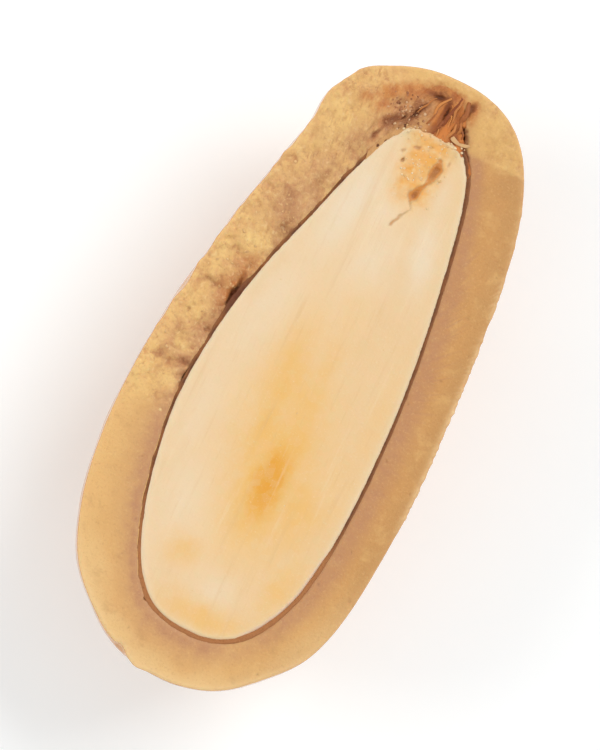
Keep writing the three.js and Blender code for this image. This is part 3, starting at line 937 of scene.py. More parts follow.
def build_tear(torn):
    na, nr = 150, 96
    lo, hi = angle_of(2.55 + MOVE, 11.35), angle_of(-2.15 + MOVE, 11.0)
    phi = np.linspace(lo, hi, na + 1)
    o, i = tear_edges(phi)
    # The outer edge reaches a little under the coating and the inner one under the kernel.
    o = POLE + (o - POLE) * 1.003
    i = POLE + (i - POLE) * 0.992
    verts, masks = [], {}
    for k in range(nr + 1):
        f = k / nr
        xy = i + (o - i) * f
        h, m = tear_relief(xy[:, 0], xy[:, 1])
        edge = min(f, 1 - f)
        h = h - 0.06 * math.exp(-(edge / 0.02) ** 2)
        for key in m:
            masks.setdefault(key, []).append(m[key])
        verts.append(np.concatenate([xy, (HEIGHT + h)[:, None]], 1))
    top = np.concatenate(verts)
    w = na + 1
    base = (np.arange(nr)[:, None] * w + np.arange(na)[None, :]).ravel()
    faces = np.stack([base, base + 1, base + w + 1, base + w], -1).tolist()
    # Closed below by a coarse floor.
    border = ([j for j in range(na)] + [na + j * w for j in range(nr)]
              + [nr * w + na - j for j in range(na)] + [(nr - j) * w for j in range(nr)])
    under = top[border].copy()
    under[:, 2] = HEIGHT - 0.75
    ids = np.arange(len(top), len(top) + len(border))
    b = np.array(border)
    faces += np.stack([b, np.roll(b, -1), np.roll(ids, -1), ids], -1).tolist()
    centre = under.mean(0)
    k = len(top) + len(border)
    faces += [[int(ids[j]), int(ids[(j + 1) % len(ids)]), k] for j in range(len(ids))]
    allv = np.concatenate([top, under, centre[None]])
    extra = len(border) + 1
    masks = {key: np.concatenate([np.concatenate(m), np.zeros(extra)]) for key, m in masks.items()}
    return make_mesh("torn_skin", allv, outward(allv, faces), masks, (torn,))


# ------------------------------------------------------- fibres, flakes, crumbs


def strip(path, width, thick, seed, twist=0.0):
    """A tapering fibre along a path of points, with five sides."""
    path = np.asarray(path, float)
    n = 18
    t = np.linspace(0, 1, len(path))
    s = np.linspace(0, 1, n)
    q = np.stack([np.interp(s, t, path[:, k]) for k in range(3)], -1)
    for _ in range(2):
        q[1:-1] = (q[:-2] + 2 * q[1:-1] + q[2:]) / 4
    tangent = np.gradient(q, axis=0)
    tangent /= np.linalg.norm(tangent, axis=1)[:, None]
    up = np.array([0, 0, 1.0])
    side = np.cross(tangent, up)
    side /= np.linalg.norm(side, axis=1)[:, None] + 1e-9
    upv = np.cross(side, tangent)
    taper = np.sin(np.pi * np.clip(s * 0.94 + 0.03, 0, 1)) ** 0.45
    wob = 1 + 0.55 * perlin(points3(s * 6, np.full(n, seed * 3.1)), seed)
    verts, faces = [], []
    sides = 6
    for j in range(n):
        for k in range(sides):
            a = k / sides * TAU + twist * s[j]
            verts.append(q[j] + side[j] * math.cos(a) * width / 2 * taper[j] * wob[j]
                         + upv[j] * math.sin(a) * thick / 2 * taper[j])
    for j in range(n - 1):
        for k in range(sides):
            a, b = j * sides + k, j * sides + (k + 1) % sides
            faces.append((a, b, b + sides, a + sides))
    verts += [q[0], q[-1]]
    c0, c1 = n * sides, n * sides + 1
    for k in range(sides):
        faces.append((c0, (k + 1) % sides, k))
        faces.append((c1, (n - 1) * sides + k, (n - 1) * sides + (k + 1) % sides))
    return np.array(verts), faces


def crumb(centre, size, seed, squash=0.7):
    """A small irregular bit: a rounded, faceted lump."""
    rng = np.random.default_rng(seed)
    rows, cols = 5, 8
    verts, faces = [np.array([0, 0, -1.0])], []
    for j in range(1, rows):
        a = math.pi * j / rows
        for k in range(cols):
            b = TAU * (k + 0.5 * (j % 2)) / cols
            verts.append(np.array([math.sin(a) * math.cos(b), math.sin(a) * math.sin(b), -math.cos(a)]))
    verts.append(np.array([0, 0, 1.0]))
    v = np.array(verts)
    cuts = rng.normal(size=(7, 3))
    cuts /= np.linalg.norm(cuts, axis=1)[:, None]
    for c in cuts:
        depth = rng.uniform(0.45, 0.85)
        over = v @ c - depth
        v = v - np.clip(over, 0, None)[:, None] * c * 0.85
    v *= 1 + 0.10 * rng.normal(size=(len(v), 1))
    v *= np.array([1, rng.uniform(0.6, 1.0), squash])
    a = rng.uniform(0, TAU)
    rot = np.array([[math.cos(a), -math.sin(a), 0], [math.sin(a), math.cos(a), 0], [0, 0, 1]])
    v = v @ rot.T * size / 2 + centre
    last = len(v) - 1
    for k in range(cols):
        faces.append((0, 1 + (k + 1) % cols, 1 + k))
        faces.append((last, last - cols + k, last - cols + (k + 1) % cols))
    for j in range(rows - 2):
        for k in range(cols):
            p, q = 1 + j * cols + k, 1 + j * cols + (k + 1) % cols
            if j % 2 == 0:
                faces.append((p, q, p + cols))
                faces.append((q, q + cols, p + cols))
            else:
                faces.append((p, q, q + cols))
                faces.append((p, q + cols, p + cols))
    return v, faces


def join(parts):
    verts, faces, tone = [], [], []
    count = 0
    for k, (v, f) in enumerate(parts):
        verts.append(v)
        faces += [tuple(i + count for i in face) for face in f]
        tone.append(np.full(len(v), np.mod(k * 0.618034, 1)))
        count += len(v)
    return np.concatenate(verts), faces, np.concatenate(tone)


def surface_height(x, y):
    x, y = np.atleast_1d(x).astype(float), np.atleast_1d(y).astype(float)
    return HEIGHT + coat_relief(x, y)[0]


def build_coat_crumbs(material):
    rng = np.random.default_rng(11)
    parts = []
    while len(parts) < 40:
        u = rng.uniform(-4.6, 13.0)
        phi_left = angle_of(np.array([-6.0 + MOVE]), np.array([u]))
        o = coat_outer.at(phi_left)[0]
        i = coat_inner.at(phi_left)[0]
        f = rng.beta(1.6, 1.2)
        x, y = o + (i - o) * (0.05 + 0.90 * f)
        if y < -4.8 or rough_mask(np.array([x - MOVE]), np.array([y]))[0] < rng.uniform(0.2, 1.0):
            continue
        size = 0.09 + 0.22 * rng.beta(1.2, 3.2)
        z = surface_height(x, y)[0]
        parts.append(crumb(np.array([x, y, z - size * 0.10]), size, 500 + len(parts), 0.55))
    v, f, tone = join(parts)
    return make_mesh("coating_crumbs", v, f, {"tone": tone}, (material,))


def build_tip_fibres(material):
    """Torn strands of the skin, from the tip of the pocket down on to the kernel."""
    parts = []
    fans = (
        # start x, y, end x, y, width, lift
        (0.70, 13.92, 0.42, 12.10, 0.17, 0.06), (0.92, 13.88, 0.74, 12.35, 0.10, 0.10),
        (1.05, 13.80, 1.12, 12.60, 0.20, 0.12), (0.30, 13.62, -0.12, 12.40, 0.12, 0.04),
        (1.16, 12.95, 1.20, 12.15, 0.13, 0.06), (0.62, 12.80, 0.20, 11.60, 0.09, 0.06),
        (0.98, 12.70, 0.86, 11.66, 0.12, 0.06), (0.00, 12.90, -0.25, 11.75, 0.07, 0.04),
        (0.52, 13.30, 0.72, 12.20, 0.06, 0.09), (-0.25, 13.30, -0.80, 12.35, 0.07, 0.03),
        (1.28, 12.60, 1.46, 11.95, 0.07, 0.05), (0.34, 12.30, 0.42, 11.55, 0.06, 0.05),
    )
    rng = np.random.default_rng(17)
    for k, (ax, ay, bx, by, w, lift) in enumerate(fans):
        n = 7
        t = np.linspace(0, 1, n)
        sway = rng.normal(0, 0.055, n).cumsum()
        x = ax + (bx - ax) * t + sway - sway[-1] * t
        y = ay + (by - ay) * t
        z = HEIGHT - 0.01 + lift * np.sin(np.pi * t) ** 0.8 * rng.uniform(0.7, 1.2) - 0.05 * (t > 0.9) - 0.04 * (t < 0.1)
        parts.append(strip(np.stack([x + MOVE, y, z - 0.02], -1), w * 1.15, w * 0.24, 40 + k, rng.uniform(-2.5, 2.5)))
    v, f, tone = join(parts)
    return make_mesh("tip_fibres", v, f, {"tone": tone}, (material,))


def chip(outline, z0, z1, thick, seed):
    """A thin curled flake: an outline of points, raised from z0 at its first point to z1 at the far side."""
    pts = np.asarray(outline, float)
    n = len(pts)
    steps = 5
    closed = []
    for k in range(n):
        a, b, c, d = pts[k - 1], pts[k], pts[(k + 1) % n], pts[(k + 2) % n]
        for j in range(steps):
            t = j / steps
            closed.append(0.5 * ((2 * b) + (c - a) * t + (2 * a - 5 * b + 4 * c - d) * t ** 2 + (3 * b - a - 3 * c + d) * t ** 3))
    edge = np.array(closed)
    m = len(edge)
    centre = edge.mean(0)
    verts, faces = [], []
    first = pts[0]
    far = np.linalg.norm(pts - first, axis=1).max()
    for layer, scales in ((1, (0.35, 0.72, 1.0)), (-1, (1.0, 0.72, 0.35))):
        for sc in scales:
            q = centre + (edge - centre) * sc
            t = np.linalg.norm(q - first, axis=1) / far
            wave = 0.02 * perlin(points3(q[:, 0] / 0.2, q[:, 1] / 0.2), seed)
            z = z0 + (z1 - z0) * t ** 1.4 + wave + layer * thick / 2 * (1 - 0.6 * (sc == 1.0))
            verts.append(np.concatenate([q, z[:, None]], 1))
    verts = np.concatenate(verts)
    rings = 6
    for k in range(rings - 1):
        for j in range(m):
            a, b = k * m + j, k * m + (j + 1) % m
            faces.append((a, b, b + m, a + m))
    top, bottom = len(verts), len(verts) + 1
    verts = np.concatenate([verts, verts[:m].mean(0)[None], verts[-m:].mean(0)[None]])
    for j in range(m):
        faces.append((top, (j + 1) % m, j))
        faces.append((bottom, (rings - 1) * m + j, (rings - 1) * m + (j + 1) % m))
    return verts, outward(verts, faces)


def build_tip_flakes(material):
    """A pale torn flake, hooked at the right of the tip."""
    flakes = (
        (((1.00, 11.96), (1.10, 12.10), (1.20, 11.98), (1.42, 11.90), (1.66, 11.92), (1.84, 12.02), (1.90, 11.94), (1.72, 11.84), (1.42, 11.81), (1.12, 11.86)), 0.02, 0.10, 0.04),
    )
    parts = []
    for k, (outline, z0, z1, thick) in enumerate(flakes):
        pts = [(x + MOVE, y) for x, y in outline]
        parts.append(chip(pts, HEIGHT + z0, HEIGHT + z1, thick, 70 + k))
    v, f, tone = join(parts)
    return make_mesh("tip_flakes", v, f, {"tone": tone}, (material,))


def build_tip_crumbs(material):
    rng = np.random.default_rng(23)
    parts = []
    while len(parts) < 80:
        v, u = rng.normal(-1.10, 0.44), rng.normal(12.15, 0.42)
        if not (11.3 < u < 13.0 and -2.1 < v < 0.15):
            continue
        x, y = v + MOVE, u
        size = 0.09 + 0.13 * rng.beta(1.2, 2.4)
        z = HEIGHT + tear_relief(np.array([x]), np.array([y]))[0][0]
        f, _, d_in = coat_place(np.array([x]), np.array([y]))
        if f[0] < 0.97:
            z = surface_height(x, y)[0]
        parts.append(crumb(np.array([x, y, z - size * 0.08]), size, 900 + len(parts), 0.6))
    v, f, tone = join(parts)
    return make_mesh("tip_crumbs", v, f, {"tone": tone}, (material,))


def build_kernel_crumbs(material):
    rng = np.random.default_rng(31)
    parts = []
    while len(parts) < 100:
        if len(parts) < 50:
            v, u = rng.normal(0.45, 0.55), rng.normal(10.2, 0.75)
            if not (8.2 < u < 11.6 and -1.0 < v < 1.7):
                continue
        elif len(parts) < 82:
            v, u = rng.uniform(-1.3, 1.9), rng.normal(11.55, 0.16)
        else:
            v, u = rng.uniform(-3.8, 3.0), rng.uniform(-10.5, 7.5)
        if crack_mask(np.array([v]), np.array([u]))[0] > 0.05:
            continue
        size = 0.06 + 0.15 * rng.beta(1.2, 3.2)
        if len(parts) >= 82:
            size *= 0.55
        h = kernel_relief(np.array([v + MOVE]), np.array([u]), np.array([1.0]))[0][0]
        parts.append(crumb(np.array([v + MOVE, u, HEIGHT + h + size * 0.02]), size, 1300 + len(parts), 0.55))
    v, f, tone = join(parts)
    return make_mesh("kernel_crumbs", v, f, {"tone": tone}, (material,))


# ------------------------------------------------------------------- materials


def srgb(r, g, b):
    def lin(c):
        c = c / 255
        return c / 12.92 if c <= 0.04045 else ((c + 0.055) / 1.055) ** 2.4
    return (lin(r), lin(g), lin(b), 1.0)


class Nodes:
    def __init__(self, name):
        self.material = bpy.data.materials.new(name)
        self.material.use_nodes = True
        self.tree = self.material.node_tree
        self.tree.nodes.clear()
        self.out = self.add("ShaderNodeOutputMaterial")
        self.shader = self.add("ShaderNodeBsdfPrincipled")
        self.tree.links.new(self.shader.outputs[0], self.out.inputs["Surface"])
        coord = self.add("ShaderNodeTexCoord")
        self.mm = self.add("ShaderNodeVectorMath", operation="SCALE")
        self.tree.links.new(coord.outputs["Object"], self.mm.inputs[0])
        self.mm.inputs["Scale"].default_value = 1000.0
        self.place = self.mm.outputs[0]

    def add(self, kind, **props):
        n = self.tree.nodes.new(kind)
        for k, v in props.items():
            setattr(n, k, v)
        return n

    def put(self, socket, value):
        if isinstance(value, bpy.types.NodeSocket):
            self.tree.links.new(value, socket)
        else:
            socket.default_value = value

    def mask(self, name):
        return self.add("ShaderNodeAttribute", attribute_name=name).outputs["Fac"]

    def mix(self, fac, a, b, blend="MIX"):
        n = self.add("ShaderNodeMix", data_type="RGBA", blend_type=blend)
        n.clamp_factor = True
        self.put(n.inputs[0], fac)
        self.put(n.inputs[6], a)
        self.put(n.inputs[7], b)
        return n.outputs[2]

    def math(self, op, a, b=0.0, clamp=False):
        n = self.add("ShaderNodeMath", operation=op, use_clamp=clamp)
        self.put(n.inputs[0], a)
        self.put(n.inputs[1], b)
        return n.outputs[0]

    def span(self, value, lo, hi, a=0.0, b=1.0, smooth=True):
        n = self.add("ShaderNodeMapRange", interpolation_type="SMOOTHSTEP" if smooth else "LINEAR")
        n.clamp = True
        self.put(n.inputs["Value"], value)
        for key, v in (("From Min", lo), ("From Max", hi), ("To Min", a), ("To Max", b)):
            self.put(n.inputs[key], v)
        return n.outputs["Result"]

    def noise(self, size, detail=3.0, rough=0.5, stretch=None, seed=0.0, warp=0.0, place=None):
        """Noise with features about size millimetres apart, from 0 to 1."""
        where = place or self.place
        m = self.add("ShaderNodeMapping")
        self.put(m.inputs["Vector"], where)
        s = stretch or (1, 1, 1)
        m.inputs["Scale"].default_value = (s[0] / size, s[1] / size, s[2] / size)
        m.inputs["Location"].default_value = (seed * 1.7, seed * 2.3, seed * 3.1)
        n = self.add("ShaderNodeTexNoise")
        self.put(n.inputs["Vector"], m.outputs[0])
        n.inputs["Scale"].default_value = 1.0
        n.inputs["Detail"].default_value = detail
        n.inputs["Roughness"].default_value = rough
        n.inputs["Distortion"].default_value = warp
        return n.outputs["Fac"]

    def cells(self, size, seed=0.0, feature="F1", stretch=None, output="Distance"):
        m = self.add("ShaderNodeMapping")
        self.put(m.inputs["Vector"], self.place)
        s = stretch or (1, 1, 1)
        m.inputs["Scale"].default_value = (s[0] / size, s[1] / size, s[2] / size)
        m.inputs["Location"].default_value = (seed * 1.3, seed * 2.1, seed * 0.7)
        n = self.add("ShaderNodeTexVoronoi", feature=feature)
        self.put(n.inputs["Vector"], m.outputs[0])
        n.inputs["Scale"].default_value = 1.0
        return n.outputs[output]

    def bump(self, height, distance_mm, strength=1.0, normal=None):
        n = self.add("ShaderNodeBump")
        n.inputs["Distance"].default_value = distance_mm * MM
        n.inputs["Strength"].default_value = strength
        self.put(n.inputs["Height"], height)
        if normal is not None:
            self.put(n.inputs["Normal"], normal)
        return n.outputs[0]

    def finish(self, colour, roughness, normal=None, **constants):
        self.put(self.shader.inputs["Base Color"], colour)
        self.put(self.shader.inputs["Roughness"], roughness)
        if normal is not None:
            self.put(self.shader.inputs["Normal"], normal)
        for key, v in constants.items():
            self.shader.inputs[key.replace("_", " ")].default_value = v
        return self.material


def coat_gloss():
    m = Nodes("coating_gloss")
    broad = m.noise(7.0, 2, 0.5, seed=1)
    mid = m.noise(1.6, 4, 0.55, seed=2)
    fine_n = m.noise(0.25, 3, 0.6, seed=3)
    colour = m.mix(m.span(broad, 0.3, 0.7), srgb(198, 127, 42), srgb(208, 139, 52))
    colour = m.mix(m.span(mid, 0.40, 0.75, 0, 0.30), colour, srgb(218, 154, 70))
    colour = m.mix(m.span(fine_n, 0.55, 0.8, 0, 0.14), colour, srgb(184, 112, 38))
    # Tiny pale dust and darker pin marks.
    dust = m.cells(1.1, seed=5)
    colour = m.mix(m.span(dust, 0.030, 0.055, 0.40, 0.0), colour, srgb(238, 198, 138))
    pin = m.cells(1.9, seed=8)
    colour = m.mix(m.span(pin, 0.022, 0.040, 0.55, 0.0), colour, srgb(160, 90, 38))
    blot = m.cells(4.4, seed=13)
    colour = m.mix(m.span(blot, 0.030, 0.075, 0.45, 0.0), colour, srgb(184, 96, 44))
    # Just below the cut rim the outside is painted paler: partly the paste's own paler edge, partly a painted
    # highlight along the rim.
    edge = m.mask("edge")
    colour = m.mix(m.math("MULTIPLY", edge, 0.90), colour, srgb(228, 184, 126))
    # Rubbed places are a little less glossy, and fine scuffs cross them.
    rub = m.noise(3.2, 5, 0.6, seed=11, warp=0.4)
    scuff = m.noise(1.0, 3, 0.6, stretch=(0.22, 6.0, 1.6), seed=12)
    rough = m.span(rub, 0.42, 0.72, 0.05, 0.10)
    rough = m.math("ADD", rough, m.span(scuff, 0.64, 0.78, 0.0, 0.06))
    dimple = m.noise(0.9, 1, 0.4, seed=14)
    relief = m.math("ADD", m.math("MULTIPLY", m.noise(1.8, 1, 0.4, seed=15), 1.0), m.math("MULTIPLY", dimple, 0.30))
    relief = m.math("ADD", relief, m.math("MULTIPLY", m.span(scuff, 0.66, 0.74), 0.012))
    normal = m.bump(relief, 0.055, 1.0)
    return m.finish(colour, rough, normal, IOR=1.50, Subsurface_Weight=0.04,
                    Subsurface_Radius=(1.0, 0.45, 0.18), Subsurface_Scale=0.0005,
                    Coat_Weight=0.1, Coat_Roughness=0.03, Coat_IOR=1.5)


def coat_cut():
    m = Nodes("coating_cut")
    inner, rough_m, pit = m.mask("inner"), m.mask("rough"), m.mask("pit")
    brown, rust, cream, lumps, mauve = m.mask("brown"), m.mask("rust"), m.mask("cream"), m.mask("lumps"), m.mask("mauve")
    right, top, hole, edge, fringe, low = m.mask("side"), m.mask("top"), m.mask("hole"), m.mask("edge"), m.mask("fringe"), m.mask("lowend")
    soft = m.noise(1.4, 4, 0.55, seed=21)
    wob = m.math("ADD", inner, m.span(soft, 0.2, 0.8, -0.18, 0.18, smooth=False))
    # The right band is a darker copy of the left band's colour, as painted shade; the top mask paints the top right
    # lighter, as painted light.
    left_c = m.mix(m.span(wob, 0.05, 0.60), srgb(233, 185, 118), srgb(226, 177, 111))
    right_shaded_c = m.mix(m.span(wob, 0.10, 0.50), srgb(201, 149, 89), srgb(209, 154, 91))
    low_c = m.mix(m.span(wob, 0.05, 0.60), srgb(236, 196, 135), srgb(227, 177, 111))
    colour = m.mix(right, left_c, right_shaded_c)
    colour = m.mix(low, colour, low_c)
    colour = m.mix(top, colour, srgb(230, 184, 112))
    # Slow clouds in the smooth paste.
    cloud = m.noise(0.9, 5, 0.6, seed=22, warp=0.3)
    colour = m.mix(m.span(cloud, 0.50, 0.75, 0, 0.36), colour, srgb(238, 195, 126))
    colour = m.mix(m.span(cloud, 0.26, 0.46, 0.32, 0), colour, srgb(190, 138, 84))
    # Beside the skin the paste is painted a darker mauve-brown.
    fw = m.math("MULTIPLY", fringe, m.span(m.noise(0.35, 4, 0.6, seed=23), 0.2, 0.7, 0.62, 1.0, smooth=False))
    colour = m.mix(m.math("MULTIPLY", fw, 0.93), colour, srgb(192, 137, 99))
    # Pale and dark patches in the broken places.
    tone = m.noise(0.55, 5, 0.62, seed=24, warp=0.6)
    pale = m.math("MULTIPLY", m.span(tone, 0.47, 0.62, 0, 0.70), rough_m)
    colour = m.mix(pale, colour, srgb(242, 199, 126))
    dim = m.math("MULTIPLY", m.span(tone, 0.36, 0.49, 0.68, 0), rough_m)
    colour = m.mix(dim, colour, srgb(202, 143, 88))
    # Low places of the broken relief are painted darker, as painted shade in the hollows, and high places are painted
    # lighter, as a painted highlight on the lumps.
    lump_shade = m.math("MULTIPLY", m.span(lumps, 0.15, 0.45, 0.45, 0), rough_m)
    colour = m.mix(lump_shade, colour, srgb(200, 142, 98))
    cav = m.mask("cav")
    colour = m.mix(m.math("MULTIPLY", m.span(cav, 0.54, 0.86, 0, 0.70), rough_m), colour, srgb(188, 123, 76))
    colour = m.mix(m.math("MULTIPLY", m.span(cav, 0.18, 0.42, 0.50, 0), rough_m), colour, srgb(242, 200, 128))
    rosy = m.noise(0.62, 4, 0.6, seed=30, warp=0.5)
    colour = m.mix(m.math("MULTIPLY", m.span(rosy, 0.52, 0.66, 0, 0.50), rough_m), colour, srgb(218, 154, 106))
    speck = m.noise(0.30, 4, 0.62, seed=26)
    mw = m.math("MULTIPLY", mauve, m.span(speck, 0.30, 0.66, 1.0, 0.62))
    colour = m.mix(m.math("MULTIPLY", mw, 0.80), colour, srgb(204, 150, 108))
    cw = m.math("MULTIPLY", cream, m.span(speck, 0.28, 0.56, 0.50, 1.0))
    colour = m.mix(m.math("MULTIPLY", cw, 0.95), colour, srgb(245, 205, 132))
    bw = m.math("MULTIPLY", brown, m.span(speck, 0.36, 0.62, 1.0, 0.35))
    colour = m.mix(m.math("MULTIPLY", bw, 0.92), colour, srgb(160, 99, 56))
    rw = m.math("MULTIPLY", rust, m.span(speck, 0.30, 0.65, 1.1, 0.60))
    colour = m.mix(m.math("MULTIPLY", rw, 0.90), colour, srgb(196, 118, 54))
    # Flecks of the crumbled paste.
    fleck = m.noise(0.24, 4, 0.68, seed=31, warp=0.5)
    colour = m.mix(m.math("MULTIPLY", m.span(fleck, 0.54, 0.68, 0, 0.50), rough_m), colour, srgb(246, 212, 156))
    colour = m.mix(m.math("MULTIPLY", m.span(fleck, 0.32, 0.46, 0.50, 0), rough_m), colour, srgb(182, 118, 80))
    colour = tip_paint(m, colour)
    # Fine grain all over: sugar-pale and cocoa-brown specks.
    grain = m.noise(0.11, 4, 0.65, seed=25)
    colour = m.mix(m.span(grain, 0.54, 0.74, 0, 0.26), colour, srgb(244, 206, 142))
    colour = m.mix(m.span(grain, 0.28, 0.46, 0.28, 0), colour, srgb(182, 120, 72))
    # The tiny air holes are painted darker inside, as painted shade.
    colour = m.mix(m.math("MULTIPLY", hole, 0.45), colour, srgb(164, 110, 66))
    # The outer edge and its burr are painted paler: partly the thin paste's own paler colour, partly a painted
    # highlight along the rim.
    colour = m.mix(m.math("MULTIPLY", edge, 0.85), colour, srgb(246, 211, 157))
    colour = m.mix(m.math("MULTIPLY", pit, 0.86), colour, srgb(126, 66, 34))
    rough = m.span(m.noise(0.6, 3, 0.6, seed=27), 0.3, 0.7, 0.44, 0.58)
    rough = m.math("ADD", rough, m.math("MULTIPLY", rough_m, 0.12))
    drag = m.noise(0.5, 3, 0.55, stretch=(0.5, 3.0, 1), seed=28)
    relief = m.math("ADD", m.math("MULTIPLY", grain, 0.60), m.math("MULTIPLY", drag, 0.35))
    relief = m.math("ADD", relief, m.math("MULTIPLY", m.noise(0.045, 3, 0.6, seed=29), 0.25))
    relief = m.math("ADD", relief, m.math("MULTIPLY", m.math("MULTIPLY", speck, rough_m), 1.6))
    normal = m.bump(relief, 0.030, 1.0)
    return m.finish(colour, rough, normal, IOR=1.45, Subsurface_Weight=0.12,
                    Subsurface_Radius=(1.0, 0.5, 0.22), Subsurface_Scale=0.0004)


def kernel_flesh():
    m = Nodes("kernel_flesh")
    right = m.mask("toright")
    stain, halo, pale = m.mask("stain"), m.mask("halo"), m.mask("pale")
    crumb_m, tip, crack, kpit, rim_tip = m.mask("crumb"), m.mask("tipspot"), m.mask("crack"), m.mask("kpit"), m.mask("rimtip")
    edge, bevel, lump = m.mask("kedge"), m.mask("bevel"), m.mask("lump")
    streak = m.noise(0.42, 5, 0.6, stretch=(1.0, 0.060, 1), seed=41)
    streak2 = m.noise(0.12, 3, 0.6, stretch=(1.0, 0.07, 1), seed=42)
    cloud = m.noise(1.9, 5, 0.6, stretch=(1.0, 0.55, 1), seed=43)
    base = m.mix(right, srgb(241, 210, 167), srgb(238, 204, 156))
    base = m.mix(m.span(cloud, 0.46, 0.72, 0, 0.50), base, srgb(244, 214, 170))
    base = m.mix(m.span(cloud, 0.28, 0.46, 0.40, 0), base, srgb(235, 199, 149))
    base = m.mix(m.math("MULTIPLY", pale, 0.85), base, srgb(240, 221, 192))
    base = m.mix(m.math("MULTIPLY", halo, 0.76), base, srgb(241, 190, 106))
    stain_c = m.mix(m.span(stain, 0.40, 1.0), srgb(240, 186, 90), srgb(235, 165, 50))
    base = m.mix(m.span(stain, 0.0, 0.80, 0, 0.95, smooth=False), base, stain_c)
    base = m.mix(m.span(streak, 0.56, 0.80, 0, 0.42), base, srgb(248, 226, 190))
    base = m.mix(m.span(streak, 0.24, 0.43, 0.34, 0), base, srgb(226, 184, 130))
    base = m.mix(m.span(streak2, 0.22, 0.42, 0.22, 0), base, srgb(224, 180, 124))
    # The crumbly tip.
    tip_c = m.mix(m.span(lump, 0.25, 0.75), srgb(224, 180, 118), srgb(240, 214, 164))
    base = m.mix(m.math("MULTIPLY", crumb_m, 0.60), base, tip_c)
    base = m.mix(m.math("MULTIPLY", rim_tip, 0.55), base, srgb(226, 194, 138))
    tw = m.span(m.noise(0.50, 4, 0.60, seed=45), 0.30, 0.66, 0.30, 0.95)
    base = m.mix(m.math("MULTIPLY", tip, tw), base, srgb(242, 168, 62))
    # The rim and the lower right bevel are painted lighter, as painted highlights along the kernel's edge.
    base = m.mix(m.math("MULTIPLY", edge, 0.45), base, srgb(244, 220, 188))
    base = m.mix(m.math("MULTIPLY", bevel, 0.75), base, srgb(248, 222, 198))
    base = m.mix(m.math("MULTIPLY", kpit, 0.75), base, srgb(182, 132, 84))
    crack_c = m.mix(m.span(crack, 0.30, 0.55), srgb(190, 150, 100), srgb(212, 136, 58))
    crack_c = m.mix(m.span(crack, 0.65, 1.0), crack_c, srgb(172, 98, 32))
    base = m.mix(m.span(crack, 0.02, 0.60, 0, 0.95), base, crack_c)
    grain = m.noise(0.09, 4, 0.65, seed=46)
    base = m.mix(m.span(grain, 0.55, 0.76, 0, 0.28), base, srgb(250, 230, 198))
    base = m.mix(m.span(grain, 0.27, 0.45, 0.22, 0), base, srgb(226, 182, 128))
    # Small greenish and rosy cells, hardly seen.
    cells = m.cells(0.34, seed=47, output="Color")
    tint = m.add("ShaderNodeSeparateColor")
    m.put(tint.inputs[0], cells)
    base = m.mix(m.span(tint.outputs[0], 0.55, 1.0, 0, 0.10), base, srgb(226, 214, 162))
    base = m.mix(m.span(tint.outputs[1], 0.6, 1.0, 0, 0.10), base, srgb(246, 206, 172))
    rough = m.span(streak2, 0.3, 0.7, 0.40, 0.52)
    relief = m.math("ADD", m.math("MULTIPLY", streak2, 0.45), m.math("MULTIPLY", grain, 0.45))
    relief = m.math("ADD", relief, m.math("MULTIPLY", streak, 0.8))
    normal = m.bump(relief, 0.020, 1.0)
    return m.finish(base, rough, normal, IOR=1.45, Subsurface_Weight=0.20,
                    Subsurface_Radius=(1.0, 0.62, 0.34), Subsurface_Scale=0.0005)


def skin_brown():
    m = Nodes("nut_skin")
    across, soft, right, gap = m.mask("across"), m.mask("soft"), m.mask("onright"), m.mask("gap")
    n1 = m.noise(0.6, 4, 0.6, seed=61)
    n2 = m.noise(0.12, 3, 0.6, seed=62)
    colour = m.mix(m.span(n1, 0.32, 0.68), srgb(98, 52, 20), srgb(146, 86, 38))
    colour = m.mix(m.math("MULTIPLY", right, 0.5), colour, srgb(116, 66, 28))
    colour = m.mix(m.math("MULTIPLY", soft, 0.75), colour, srgb(190, 124, 70))
    colour = m.mix(m.span(across, 0.45, 1.0, 0, 0.50), colour, srgb(170, 112, 68))
    colour = m.mix(m.span(n2, 0.55, 0.8, 0, 0.4), colour, srgb(78, 38, 16))
    # The gap at the left is painted darker, as painted shade where the skin sinks away between kernel and coating.
    colour = m.mix(m.math("MULTIPLY", gap, 0.8), colour, srgb(100, 48, 24))
    normal = m.bump(m.math("ADD", n2, m.noise(0.05, 2, 0.5, seed=63)), 0.03, 1.0)
    rough = m.span(n2, 0.3, 0.7, 0.54, 0.70)
    return m.finish(colour, rough, normal, IOR=1.45)


def tip_paint(m, colour):
    """The colours of the torn tip, the same on the coating and on the torn skin."""
    rust, crumbs, dark, speck = m.mask("tiprust"), m.mask("tipcrumb"), m.mask("tipdark"), m.mask("tipspeck")
    n = m.noise(0.10, 4, 0.65, seed=71)
    broad = m.noise(0.5, 4, 0.6, seed=72)
    rust_c = m.mix(m.span(broad, 0.35, 0.65), srgb(212, 140, 74), srgb(186, 106, 50))
    colour = m.mix(m.span(rust, 0.06, 0.80, 0, 0.92), colour, rust_c)
    crumb_c = m.mix(m.span(broad, 0.35, 0.65), srgb(166, 101, 57), srgb(205, 141, 88))
    colour = m.mix(m.span(crumbs, 0.10, 0.75, 0, 0.92), colour, crumb_c)
    colour = m.mix(m.math("MULTIPLY", speck, 0.70), colour, srgb(228, 184, 140))
    colour = m.mix(m.span(dark, 0.10, 0.80, 0, 0.78), colour, srgb(124, 60, 20))
    colour = m.mix(m.math("MULTIPLY", m.span(n, 0.52, 0.74, 0, 0.34), crumbs), colour, srgb(220, 176, 130))
    return m.mix(m.math("MULTIPLY", m.span(n, 0.26, 0.44, 0.5, 0), m.math("MAXIMUM", crumbs, rust)), colour, srgb(112, 62, 34))


